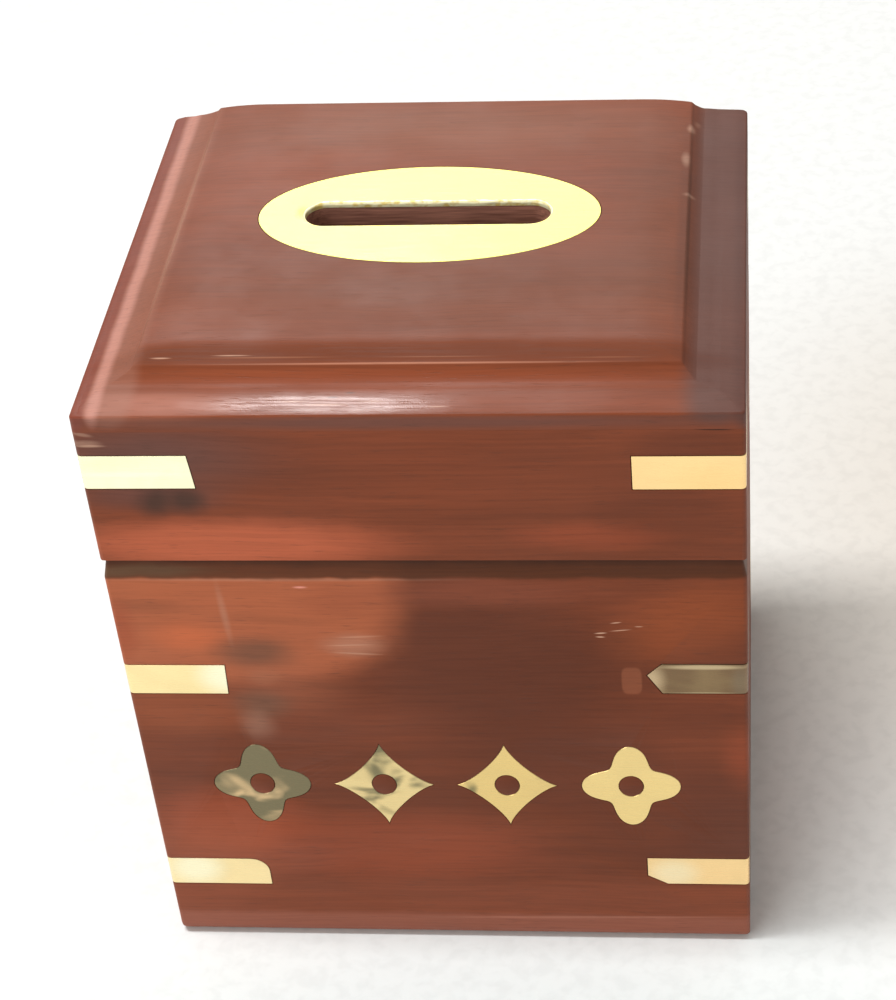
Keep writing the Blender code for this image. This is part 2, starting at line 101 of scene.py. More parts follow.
# The slot plate and the coin slot
PLATE_THICKNESS = 0.9 * MM
SLOT_CENTRE_X = -1.4 * MM
SLOT_LENGTH = 40.8 * MM
SLOT_WIDTH = 7 * MM
PLATE_EASE = 0.05 * MM
SLOT_EASE = 0.2 * MM
SLOT_FAR_EASE = 0.35 * MM
SLOT_CHATTER = 0.3 * MM
PLATE_STEPS = 192

# Brass let into the wood
FIT_GAP = 0.12 * MM
INLAY_STEPS = 160
EYE_HALF_WIDTH = 2.2 * MM
EYE_HALF_HEIGHT = 2.5 * MM
BRASS_BEVEL = 0.07 * MM
INLAY_EASE = 0.06 * MM
HAMMERED = 0.1 * MM
POCKET_EXTRA = 0.05 * MM

# Wood edges
WORN_EDGE = 0.3 * MM
BASE_EDGE = 0.2 * MM
CRISP_EDGE = 0.05 * MM

# Limits for finding a mesh's edges and faces
WELD = 0.002 * MM
ON_THE_BOX = 0.02 * MM
SHARP_ANGLE = math.radians(50)
FLAT_ANGLE = math.radians(0.4)
CUT_PAST = 1 * MM

# Hinges
LEAF_EDGE = 0.05 * MM
SCREW_HEAD_RADIUS = 1.2 * MM
SCREW_SHANK_RADIUS = 0.7 * MM
SCREW_SLOT_WIDTH = 0.38 * MM
SCREW_SLOT_DEPTH = 0.35 * MM
ROUND_STEPS = 40

# Camera, its angles in radians and its lens in millimetres
CAMERA_PLACE = (0.05317, -0.33193, 0.32995)
CAMERA_YAW = -0.1224
CAMERA_DIP = 0.6718
CAMERA_ROLL = -0.0795
CAMERA_LENS = 87.46
CAMERA_SHIFT = -0.08

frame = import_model()
NODES = frame["nodes"]
TOP_LOW, TOP_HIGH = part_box("lid_top_board")
PLATE_LOW, PLATE_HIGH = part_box("slot_plate")


# Node graphs

# A mark with a harder outline than this is nearly a box
SQUARE = 0.75


class Graph:
    """The node tree of one material, with a short method for each kind of node it uses."""

    def __init__(self, name, **constants):
        self.material = bpy.data.materials.new(name)
        self.material.use_nodes = True
        self.tree = self.material.node_tree
        self.shader = self.tree.nodes["Principled BSDF"]
        for socket, value in constants.items():
            self.shader.inputs[socket.replace("_", " ")].default_value = value
        self.place = self.tree.nodes.new("ShaderNodeTexCoord").outputs["Object"]

    def feed(self, socket, value):
        """Links a node's output to the socket, or sets the socket to a plain value."""
        if isinstance(value, bpy.types.NodeSocket):
            self.tree.links.new(value, socket)
        elif value is not None:
            socket.default_value = value

    def set(self, socket, value):
        """Feeds a socket of the shader."""
        self.feed(self.shader.inputs[socket], value)

    def node(self, kind, values, **settings):
        """A new node of this kind, its sockets fed with values."""
        made = self.tree.nodes.new("ShaderNode" + kind)
        for name, value in settings.items():
            setattr(made, name, value)
        for socket, value in values.items():
            self.feed(made.inputs[socket], value)
        return made

    def math(self, operation, a, b=None):
        return self.node("Math", {0: a, 1: b}, operation=operation).outputs[0]

    def mix(self, share, a, b, blend="MIX"):
        made = self.node("Mix", {0: share, 6: a, 7: b}, data_type="RGBA", blend_type=blend)
        return made.outputs[2]

    def ramp(self, value, stops):
        """stops are (place, colour) pairs."""
        made = self.node("ValToRGB", {0: value})
        elements = made.color_ramp.elements
        while len(elements) < len(stops):
            elements.new(1)
        for element, (at, colour) in zip(elements, stops):
            element.position = at
            element.color = (*colour, 1)
        return made.outputs[0]

    def spread(self, value, low, high, to_low=0.0, to_high=1.0):
        """value carried smoothly from low..high to to_low..to_high."""
        values = {0: value, 1: low, 2: high, 3: to_low, 4: to_high}
        return self.node("MapRange", values, interpolation_type="SMOOTHSTEP").outputs[0]

    def noise(self, vector, detail, roughness, distortion=0.0):
        values = {"Vector": vector, "Scale": 1.0, "Detail": detail}
        values.update({"Roughness": roughness, "Distortion": distortion})
        return self.node("TexNoise", values).outputs[0]

    def scaled(self, vector, scale, shift=(0, 0, 0)):
        return self.node("Mapping", {0: vector, 1: shift, 3: scale}).outputs[0]

    def wavered(self, vector, scale, reach):
        """The coordinates pushed about by slow noise, so that straight bands waver."""
        cloud = self.node("TexNoise", {"Vector": vector, "Scale": scale, "Detail": 2.0}).outputs[1]
        centred = self.node("VectorMath", {0: cloud, 1: (0.5,) * 3}, operation="SUBTRACT").outputs[0]
        push = self.node("VectorMath", {0: centred, 1: reach}, operation="MULTIPLY").outputs[0]
        return self.node("VectorMath", {0: vector, 1: push}, operation="ADD").outputs[0]

    def mark(self, vector, centre, reach, turn=0, hard=0.35):
        """1 inside an ellipsoid given in millimetres, falling to 0 at its reach, from the share hard of
        it. turn is about Y, in degrees. With hard over SQUARE it is squarer, nearly a box."""
        turned = (0, math.radians(turn), 0)
        values = {0: vector, 1: [c * MM for c in centre], 2: turned, 3: [r * MM for r in reach]}
        inside = self.node("Mapping", values, vector_type="TEXTURE").outputs[0]
        if hard > SQUARE:
            inside = self.node("VectorMath", {0: inside, 1: inside}, operation="MULTIPLY").outputs[0]
        length = self.node("VectorMath", {0: inside}, operation="LENGTH").outputs[1]
        if hard > SQUARE:
            length = self.math("SQRT", length)
        return self.spread(length, hard, 1.0, 1.0, 0.0)

    def marked(self, colour, vector, mark):
        """The colour with one mark on it: (centre, reach, colour, strength, turn, hard)."""
        centre, reach, tint, strength, turn, hard = mark
        mask = self.math("MULTIPLY", self.mark(vector, centre, reach, turn, hard), strength)
        return self.mix(mask, colour, (*tint, 1))

    def bump(self, height, distance, strength, under=None):
        values = {"Height": height, "Distance": distance, "Strength": strength}
        if under is not None:
            values["Normal"] = under
        return self.node("Bump", values).outputs[0]


# Wood

DEEP = (0.120, 0.028, 0.010)
BROWN = (0.165, 0.038, 0.013)
RED_BROWN = (0.235, 0.053, 0.018)
ORANGE = (0.450, 0.117, 0.041)
CHERRY = (0.360, 0.072, 0.026)
SMOKE_AND_SHADE = (0.060, 0.026, 0.016)
FADED_AND_HIGHLIGHT = (0.52, 0.30, 0.21)
SHEEN_PINK = (0.50, 0.20, 0.14)
PURPLE = (0.135, 0.058, 0.046)
CRACK_AND_SHADOW_BLACK = (0.048, 0.012, 0.003)
SEAM_SHADE_BROWN = (0.090, 0.024, 0.006)
BARE_AND_HIGHLIGHT = (0.80, 0.48, 0.33)
SCRATCHED = (0.42, 0.17, 0.09)
RAW_TINT = (0.30, 0.16, 0.09)
FIGURE = ((0.32, DEEP), (0.39, BROWN), (0.46, RED_BROWN), (0.62, ORANGE))
MEAN_FIGURE = 0.425

# The length along the grain and the width across it of each pattern's cells
FLAME_CELL = (80 * MM, 16 * MM)
BAND_CELL = (70 * MM, 2.6 * MM)
STREAK_CELL = (30 * MM, 0.5 * MM)
PORE_CELL = (4.0 * MM, 0.2 * MM)
PLANED_CELL = (40 * MM, 8 * MM)

POLISHED_ROUGHNESS = 0.5
RAW_ROUGHNESS = 0.7
CONTRAST = 0.8
CONTRAST_UNDER_MARKS = 0.36


def along_grain(grain, length, width):
    """The scale of a pattern with cells of this length along the grain and this width across it."""
    return tuple(1 / length if axis == grain else 1 / width for axis in range(3))


def fibres(graph, grain, vector, shift):
    """The thin streaks and the pores of the wood."""
    streaks = graph.noise(graph.scaled(vector, along_grain(grain, *STREAK_CELL), shift), 3, 0.6)
    pores = graph.noise(graph.scaled(vector, along_grain(grain, *PORE_CELL), shift), 1, 0.5)
    return streaks, graph.spread(pores, 0.62, 0.75)


def figured(graph, grain, vector, shift, streaks, contrast):
    """The wood's colour from its broad flames, its bands and its streaks."""
    flames = graph.noise(graph.scaled(vector, along_grain(grain, *FLAME_CELL), shift), 3, 0.5, 0.3)
    bands = graph.noise(graph.scaled(vector, along_grain(grain, *BAND_CELL), shift), 3, 0.6)
    blend = graph.math("MULTIPLY", flames, 0.55)
    blend = graph.math("ADD", blend, graph.math("MULTIPLY", bands, 0.2))
    blend = graph.math("ADD", blend, graph.math("MULTIPLY", streaks, 0.1))
    blend = graph.math("MULTIPLY", graph.math("SUBTRACT", blend, MEAN_FIGURE), contrast)
    return graph.ramp(graph.math("ADD", blend, MEAN_FIGURE), FIGURE)


def rubbed_roughness(graph, raw, shift, vector, streaks, rubbed):
    """The roughness, a little uneven, and lower in the rubbed places."""
    base = RAW_ROUGHNESS if raw else POLISHED_ROUGHNESS
    worn = graph.noise(graph.scaled(graph.place, (60,) * 3, shift), 3, 0.6)
    roughness = graph.spread(worn, 0.3, 0.7, base - 0.05, base + 0.06)
    for centre, reach, target in rubbed:
        mask = graph.mark(vector, centre, reach)
        mask = graph.math("MULTIPLY", mask, graph.spread(streaks, 0.36, 0.6, 0.6, 1.0))
        lower = graph.math("MULTIPLY", mask, base - target)
        roughness = graph.math("SUBTRACT", roughness, lower)
    return roughness


def wood_relief(graph, grain, shift, streaks, pits, raw):
    """Fine grain on the slow hills that a hand plane leaves."""
    relief = graph.math("MULTIPLY", streaks, 0.6)
    relief = graph.math("SUBTRACT", relief, graph.math("MULTIPLY", pits, 0.5))
    planed = graph.noise(graph.scaled(graph.place, along_grain(grain, *PLANED_CELL), shift), 1, 0.4)
    hills = graph.bump(planed, 0.15 * MM, 0.4)
    return graph.bump(relief, 0.05 * MM, 1.0 if raw else 0.5, hills)


def rosewood(
    name, grain, shift, marks=(), contrast=CONTRAST, fray=(3, 1.2, 1.2), gloss=0.2, raw=False, rubbed=()
):
    """Rosewood with its grain along axis 0, 1 or 2. marks are (centre, reach, colour, strength, turn,
    hard) in millimetres and degrees, the ones under 1 mm with crisp outlines and the others with
    outlines that fray by so many millimetres; rubbed are the shinier places, (centre, reach,
    roughness); raw wood has no finish on it."""
    graph = Graph(name, IOR=1.5, Specular_IOR_Level=0.15 if raw else gloss)
    across = tuple(0.0 if axis == grain else 4 * MM for axis in range(3))
    wavy = graph.wavered(graph.place, 22, across)
    ragged = graph.wavered(graph.place, 160, [f * MM for f in fray])
    streaks, pits = fibres(graph, grain, wavy, shift)

    colour = figured(graph, grain, wavy, shift, streaks, contrast)
    for mark in marks:
        narrow = min(mark[1]) < 1
        colour = graph.marked(colour, graph.place if narrow else ragged, mark)
    dim = graph.spread(streaks, 0.30, 0.65, 1 - 0.22 * contrast, 1 + 0.12 * contrast)
    colour = graph.mix(1.0, colour, dim, "MULTIPLY")
    colour = graph.mix(graph.math("MULTIPLY", pits, 0.25), colour, (*SMOKE_AND_SHADE, 1))
    if raw:
        colour = graph.mix(0.45, colour, (*RAW_TINT, 1))
    graph.set("Base Color", colour)
    graph.set("Roughness", rubbed_roughness(graph, raw, shift, ragged, streaks, rubbed))
    graph.set("Normal", wood_relief(graph, grain, shift, streaks, pits, raw))
    return graph.material


def plain_wood(name):
    """The pale, unpolished wood of the base panel."""
    graph = Graph(name, Roughness=0.75)
    wavy = graph.wavered(graph.place, 18, (0, 6 * MM, 0))
    bands = graph.noise(graph.scaled(wavy, along_grain(0, 80 * MM, 2.5 * MM)), 4, 0.6)
    fine = graph.noise(graph.scaled(wavy, along_grain(0, 9 * MM, 0.3 * MM)), 2, 0.6)
    colour = graph.ramp(bands, ((0.35, (0.22, 0.11, 0.055)), (0.65, (0.42, 0.24, 0.13))))
    colour = graph.mix(1.0, colour, graph.spread(fine, 0.3, 0.7, 0.78, 1.1), "MULTIPLY")
    graph.set("Base Color", colour)
    graph.set("Normal", graph.bump(fine, 0.05 * MM, 0.8))
    return graph.material


# Brass

BRASS = (0.93, 0.74, 0.38)
DULL_BRASS = (0.62, 0.46, 0.22)
TARNISH_AND_DARK_REFLECTION = (0.13, 0.125, 0.075)


def brass(name, shift, tarnish_and_dark_reflection=0.0, rough=0.24, tone=BRASS, spots=()):
    """Rubbed brass, with a share of its surface painted dark as oxide, and on the ornaments as a
    painted dark reflection;
    spots are (centre, reach, colour, strength, turn, hard), as on the wood."""
    graph = Graph(name, Metallic=1.0)
    cloud = graph.noise(graph.scaled(graph.place, (130, 130, 170), shift), 2, 0.5, 0.5)
    hairs = graph.noise(graph.scaled(graph.place, along_grain(0, 8 * MM, 0.15 * MM), shift), 2, 0.6)
    dulled = graph.spread(cloud, 0.3, 0.75, 0.0, 0.16)
    colour = graph.mix(dulled, (*tone, 1), (*DULL_BRASS, 1))
    if tarnish_and_dark_reflection:
        edge = 0.70 - 0.44 * tarnish_and_dark_reflection
        mask = graph.spread(cloud, edge - 0.04, edge + 0.16, 0.0, 0.85)
        colour = graph.mix(mask, colour, (*TARNISH_AND_DARK_REFLECTION, 1))
    for spot in spots:
        colour = graph.marked(colour, graph.place, spot)
    graph.set("Base Color", colour)
    graph.set("Roughness", graph.spread(hairs, 0.3, 0.75, rough - 0.04, rough + 0.08))
    waves = graph.bump(cloud, 0.10 * MM, 0.2)
    graph.set("Normal", graph.bump(hairs, 0.008 * MM, 0.4, waves))
    return graph.material


def filed_brass():
    """The slot's edge as a coarse file left it."""
    graph = Graph("filed_brass", Metallic=0.3, Roughness=0.4)
    chatter = graph.noise(graph.scaled(graph.place, (700, 400, 900)), 2, 0.6)
    stops = ((0.35, (0.80, 0.62, 0.20)), (0.55, (1.0, 0.95, 0.62)))
    graph.set("Base Color", graph.ramp(chatter, stops))
    graph.set("Normal", graph.bump(chatter, 0.12 * MM, 0.8))
    return graph.material


# Mesh helpers


def solid_mesh(name, points, faces):
    """A mesh with its normals turned outwards."""
    mesh = bpy.data.meshes.new(name)
    mesh.from_pydata([tuple(point) for point in points], [], faces)
    shape = bmesh.new()
    shape.from_mesh(mesh)
    bmesh.ops.recalc_face_normals(shape, faces=shape.faces)
    shape.to_mesh(mesh)
    shape.free()
    return mesh


def loft(name, rings, closed=False):
    """A mesh through rings of equal length, capped at both ends, or running back to its first ring."""
    count = len(rings[0])
    points = [point for ring in rings for point in ring]
    faces = []
    spans = len(rings) if closed else len(rings) - 1
    for span in range(spans):
        here = span * count
        there = (span + 1) % len(rings) * count
        for i in range(count):
            j = (i + 1) % count
            faces.append((here + i, here + j, there + j, there + i))
    if not closed:
        faces.append(tuple(range(count)))
        faces.append(tuple(range(spans * count, (spans + 1) * count)))
    return solid_mesh(name, points, faces)


def arc(centre, radius, start, end, steps):
    """The points of an arc from start to end, in degrees, both included."""
    angles = [math.radians(start + (end - start) * i / steps) for i in range(steps + 1)]
    return [(centre[0] + radius * math.cos(a), centre[1] + radius * math.sin(a)) for a in angles]


def oval(centre, half, steps, pattern=lambda angle: 1.0):
    """An ellipse, or a curve whose reach at each angle is pattern's share of the ellipse's."""
    points = []
    for i in range(steps):
        a = 2 * math.pi * i / steps
        reach = pattern(a)
        across, along = reach * half[0] * math.cos(a), reach * half[1] * math.sin(a)
        points.append((centre[0] + across, centre[1] + along))
    return points


def flat(outline, z):
    return [(x, y, z) for x, y in outline]


def upright(outline, y):
    return [(x, y, z) for x, z in outline]


def grown(outline, distance):
    """An anticlockwise outline moved outwards by a distance, with mitred corners."""
    count = len(outline)
    points = []
    for i, (x, y) in enumerate(outline):
        before, after = outline[i - 1], outline[(i + 1) % count]
        ax, ay = x - before[0], y - before[1]
        bx, by = after[0] - x, after[1] - y
        a, b = math.hypot(ax, ay), math.hypot(bx, by)
        nx, ny = ay / a + by / b, -ax / a - bx / b
        share = 2 * distance / (nx * nx + ny * ny)
        points.append((x + nx * share, y + ny * share))
    return points


def piece(name, mesh, body=None, material=None):
    """A new object, riding on a body if one is named."""
    obj = bpy.data.objects.new(name, mesh)
    bpy.context.scene.collection.objects.link(obj)
    if material:
        mesh.materials.append(material)
    if body:
        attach(obj, body)
    return obj


def apply_modifiers(obj):
    """Makes what an object's modifiers show its own mesh."""
    graph = bpy.context.evaluated_depsgraph_get()
    mesh = bpy.data.meshes.new_from_object(obj.evaluated_get(graph))
    obj.modifiers.clear()
    obj.data = mesh


def carve(obj, cutters):
    """Cuts each mesh out of obj. The faces that a cutter leaves get its material, if it has one."""
    for mesh in cutters:
        cutter = piece(mesh.name, mesh)
        modifier = obj.modifiers.new("carve", "BOOLEAN")
        modifier.operation = "DIFFERENCE"
        modifier.solver = "EXACT"
        modifier.object = cutter
        if mesh.materials:
            modifier.material_mode = "TRANSFER"
        apply_modifiers(obj)
        bpy.data.objects.remove(cutter)


def smooth(obj, angle=38):
    """Smooth shading, but for edges sharper than so many degrees."""
    obj.data.shade_smooth()
    obj.data.set_sharp_from_angle(angle=math.radians(angle))
    weigh = obj.modifiers.new("weigh", "WEIGHTED_NORMAL")
    weigh.keep_sharp = True


def tidied(shape):
    """Welds a mesh's corners and joins the triangles of each flat face."""
    bmesh.ops.remove_doubles(shape, verts=shape.verts, dist=WELD)
    bmesh.ops.dissolve_degenerate(shape, dist=WELD, edges=shape.edges)
    bmesh.ops.dissolve_limit(shape, angle_limit=FLAT_ANGLE, verts=shape.verts, edges=shape.edges)


def copy_of(node, name):
    """A new piece with a CAD node's shape, which it replaces."""
    shape = bmesh.new()
    shape.from_mesh(NODES[node].data)
    tidied(shape)
    mesh = bpy.data.meshes.new(name)
    shape.to_mesh(mesh)
    shape.free()
    obj = piece(name, mesh, NODES[node]["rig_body"])
    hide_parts(node)
    return obj


def sharp_edges(shape):
    """The edges with two faces that meet at more than SHARP_ANGLE."""
    found = []
    for edge in shape.edges:
        if len(edge.link_faces) == 2 and edge.calc_face_angle(0) > SHARP_ANGLE:
            found.append(edge)
    return found


def soften(obj, width, chosen=lambda middle: True):
    """Rounds the sharp edges whose middle is chosen."""
    shape = bmesh.new()
    shape.from_mesh(obj.data)
    edges = []
    for edge in sharp_edges(shape):
        middle = (edge.verts[0].co + edge.verts[1].co) / 2
        if chosen(middle):
            edges.append(edge)
    bmesh.ops.bevel(
        shape, geom=edges, offset=width, segments=2, profile=0.5, affect="EDGES", clamp_overlap=True
    )
    bmesh.ops.remove_doubles(shape, verts=shape.verts, dist=WELD / 4)
    shape.to_mesh(obj.data)
    shape.free()


# Wooden boards


def bare_inside(face):
    """Whether a face of a board is a large upright one that faces the inside of the box."""
    inwards = -(face.center.x * face.normal.x + face.center.y * face.normal.y)
    within = max(abs(face.center.x), abs(face.center.y)) < 45 * MM
    return within and inwards > 0 and abs(face.normal.z) < 0.3 and face.area > 20 * MM * MM


def board(node, name, material, inner):
    """A CAD board with worn outer edges, crisp pockets and a bare inner face."""
    low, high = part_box(node)
    obj = copy_of(node, name)
    obj.data.materials.append(material)
    obj.data.materials.append(inner)

    def outer(middle):
        at_ends = sum(min(abs(m - a), abs(m - b)) < ON_THE_BOX for m, a, b in zip(middle, low, high))
        under_top_board = "rail" in node and middle.z > high.z - ON_THE_BOX
        return at_ends >= 2 and not under_top_board

    soften(obj, WORN_EDGE, outer)
    soften(obj, CRISP_EDGE, lambda middle: not outer(middle))
    for face in obj.data.polygons:
        if bare_inside(face):
            face.material_index = 1
    smooth(obj)
    return obj


# Each mark is (centre, reach, colour, strength, turn, hard), in millimetres and degrees
FRONT_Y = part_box("front_board")[0].y / MM
FRONT_MARKS = (
    # broad dark and light figure; the paler upper left and the darker right are partly painted light
    # and shade, as if lit from the left
    ((12, FRONT_Y, 64), (34, 9, 27), DEEP, 0.9, 27, 0.3),
    ((24, FRONT_Y, 40), (34, 9, 15), DEEP, 0.6, 10, 0.3),
    ((48, FRONT_Y, 30), (14, 9, 24), DEEP, 0.5, 0, 0.2),
    ((-60, FRONT_Y, 86), (60, 9, 27), (0.50, 0.135, 0.055), 0.78, 0, 0.84),
    ((-13, FRONT_Y, 79), (12, 9, 6), (0.34, 0.085, 0.034), 0.6, 0, 0.1),
    ((-25, FRONT_Y, 60), (15, 9, 9), (0.34, 0.100, 0.046), 0.5, 0, 0.1),
    ((-45, FRONT_Y, 78), (12, 9, 2.2), (0.24, 0.070, 0.030), 0.4, 4, 0.1),
    ((-26, FRONT_Y, 75.5), (14, 9, 1.6), (0.26, 0.075, 0.030), 0.3, 4, 0.1),
    ((-50, FRONT_Y, 73), (4, 9, 9), CHERRY, 0.6, 0, 0.2),
    ((-39, FRONT_Y, 71.5), (9, 6, 4.5), (0.66, 0.150, 0.050), 0.6, 0, 0.1),
    ((-42, FRONT_Y, 55), (16, 9, 8), ORANGE, 0.3, 0, 0.3),
    ((-38, FRONT_Y, 29), (18, 9, 11), CHERRY, 0.7, 0, 0.3),
    ((-40, FRONT_Y, 22), (18, 9, 13), (0.44, 0.110, 0.050), 0.5, 0, 0.2),
    ((-10, FRONT_Y, 23), (34, 9, 12), CHERRY, 0.5, 0, 0.3),
    ((42, FRONT_Y, 74), (18, 9, 11), (0.31, 0.070, 0.019), 0.65, -20, 0.2),
    ((10, FRONT_Y, 81), (26, 9, 4.5), (0.28, 0.072, 0.035), 0.5, 0, 0.2),
    ((44, FRONT_Y, 54), (16, 9, 7), DEEP, 0.5, 0, 0.2),
    ((51, FRONT_Y, 45), (6, 9, 10), CHERRY, 0.45, 0, 0.1),
    # painted light: the lowest band and the foot lighter, as if lit by the floor in front
    ((0, FRONT_Y, 9), (300, 9, 8), (0.30, 0.075, 0.032), 0.45, 0, 0.3),
    ((0, FRONT_Y, 0), (300, 9, 6.8), (0.34, 0.110, 0.068), 0.75, 0, 0.7),
    # a pale line along the foot, and the stains by the upper left strap
    ((22, FRONT_Y, 5.4), (36, 9, 0.45), (0.62, 0.26, 0.18), 0.3, -1, 0.2),
    ((-28.6, FRONT_Y, 68.2), (9.5, 6, 4.8), (0.125, 0.060, 0.034), 0.68, 0, 0.2),
    ((-28.9, FRONT_Y, 56.6), (7, 6, 5), (0.150, 0.082, 0.050), 0.55, 0, 0.1),
    ((-27.8, FRONT_Y, 62.8), (4.5, 6, 2.6), (0.38, 0.13, 0.065), 0.55, 0, 0.1),
    # faded streaks and scratches
    ((-32.6, FRONT_Y, 76.5), (0.95, 6, 9), FADED_AND_HIGHLIGHT, 0.25, -3, 0.1),
    ((-30.5, FRONT_Y, 52), (4.5, 6, 5), FADED_AND_HIGHLIGHT, 0.26, 0, 0.1),
    ((-12.2, FRONT_Y, 69.9), (7.5, 6, 3.5), FADED_AND_HIGHLIGHT, 0.32, 0, 0.2),
    ((-12, FRONT_Y, 68.0), (5.5, 6, 0.3), BARE_AND_HIGHLIGHT, 0.25, 3, 0.2),
    ((-13, FRONT_Y, 69.8), (5, 6, 0.25), BARE_AND_HIGHLIGHT, 0.22, -2, 0.2),
    ((-11, FRONT_Y, 71.6), (5, 6, 0.3), BARE_AND_HIGHLIGHT, 0.2, -3, 0.2),
    ((-19.6, FRONT_Y, 82.1), (1.6, 6, 0.35), (0.95, 0.40, 0.33), 0.6, 0, 0.1),
    # a painted highlight along the lower edge of the bevel under the lid
    ((-22, FRONT_Y, 83.7), (36, 9, 0.5), FADED_AND_HIGHLIGHT, 0.25, 0, 0.3),
    # painted shade in the bevel under the lid's overhang, darkest at the top, with painted light at its
    # left end
    ((0, FRONT_Y, 87.4), (200, 9, 3.9), SEAM_SHADE_BROWN, 0.9, 0, 0.78),
    ((-46, FRONT_Y, 85.4), (18, 9, 1.8), (0.13, 0.070, 0.034), 0.7, 0, 0.2),
    ((0, FRONT_Y, 87.9), (200, 9, 2.4), CRACK_AND_SHADOW_BLACK, 0.95, 0, 0.1),
    # a square scar beside the upper right strap, and the scratches above it
    ((32.3, FRONT_Y, 62.2), (1.8, 0.9, 3.2), (0.34, 0.105, 0.048), 0.5, 0, 0.8),
    ((27.7, FRONT_Y, 72.5), (1.3, 6, 0.22), BARE_AND_HIGHLIGHT, 0.75, -4, 0.2),
    ((27.6, FRONT_Y, 71.7), (1.0, 6, 0.2), BARE_AND_HIGHLIGHT, 0.7, 2, 0.2),
    ((30.2, FRONT_Y, 74.7), (1.2, 6, 0.2), BARE_AND_HIGHLIGHT, 0.55, -8, 0.2),
    ((30.9, FRONT_Y, 73.1), (2.2, 6, 0.18), BARE_AND_HIGHLIGHT, 0.5, -6, 0.2),
    ((33.8, FRONT_Y, 73.9), (0.9, 6, 0.18), BARE_AND_HIGHLIGHT, 0.5, 0, 0.2),
)
LID_FRONT_MARKS = (
    # broad figure, darker and duller round the left strap
    ((-40, FRONT_Y, 108.5), (28, 9, 10), PURPLE, 0.8, 0, 0.1),
    ((-41, FRONT_Y, 100.6), (18, 6, 4.4), PURPLE, 0.6, 0, 0.1),
    ((-30, FRONT_Y, 91), (36, 9, 7), (0.54, 0.125, 0.054), 0.85, 0, 0.3),
    ((27, FRONT_Y, 92.5), (16, 9, 4), CHERRY, 0.5, 0, 0.3),
    ((38, FRONT_Y, 97), (16, 9, 7), DEEP, 0.4, 0, 0.3),
    ((44, FRONT_Y, 110), (14, 9, 4), DEEP, 0.5, 0, 0.3),
    # two smudges under the left strap, the rubbed left corner, and a dark line at the right
    ((-40.2, FRONT_Y, 99.5), (4.4, 6, 4.4), SMOKE_AND_SHADE, 0.85, 0, 0.1),
    ((-35.4, FRONT_Y, 99.8), (4.4, 6, 4.2), SMOKE_AND_SHADE, 0.85, 0, 0.1),
    ((-49.2, FRONT_Y, 110.9), (3.4, 6, 0.9), FADED_AND_HIGHLIGHT, 0.45, 0, 0.2),
    ((-48.6, FRONT_Y, 110.4), (3.2, 6, 0.35), BARE_AND_HIGHLIGHT, 0.4, 0, 0.2),
    ((-49.4, FRONT_Y, 112.6), (2.2, 6, 0.5), FADED_AND_HIGHLIGHT, 0.45, 12, 0.2),
    ((46.2, FRONT_Y, 112.9), (3.6, 6, 0.2), CRACK_AND_SHADOW_BLACK, 0.9, 1, 0.4),
)


def make_boards():
    """The body's and the lid's boards, each from its own cut of rosewood."""
    raw = {axis: rosewood(f"bare_rosewood_{axis}", axis, (3, 1, 2), raw=True) for axis in (0, 1)}
    cuts = (
        ("front_board", "front_panel", 0, (1.7, 4.1, 0.3), FRONT_MARKS, "rosewood_body"),
        ("back_board", "back_panel", 0, (7.3, 2.2, 5.1), (), "rosewood_body"),
        ("left_board", "left_panel", 1, (2.9, 8.4, 1.6), (), "rosewood_body"),
        ("right_board", "right_panel", 1, (6.1, 3.3, 9.2), (), "rosewood_body"),
        ("lid_front_rail", "lid_front", 0, (4.4, 7.9, 2.8), LID_FRONT_MARKS, "rosewood_lid"),
        ("lid_back_rail", "lid_back", 0, (9.7, 1.4, 6.6), (), "rosewood_lid"),
        ("lid_left_rail", "lid_left", 1, (5.2, 6.8, 3.7), (), "rosewood_lid"),
        ("lid_right_rail", "lid_right", 1, (8.5, 9.9, 4.3), (), "rosewood_lid"),
    )
    boards = {}
    for node, name, grain, shift, marks, slot_name in cuts:
        contrast = CONTRAST_UNDER_MARKS if marks else CONTRAST
        wood = rosewood(name + "_wood", grain, shift, marks, contrast)
        boards[node] = board(node, name, wood, raw[grain])
    return boards


def make_base():
    obj = copy_of("base_panel", "base_board")
    obj.data.materials.append(plain_wood("base_wood"))
    soften(obj, BASE_EDGE)
    smooth(obj)


# The moulded top board


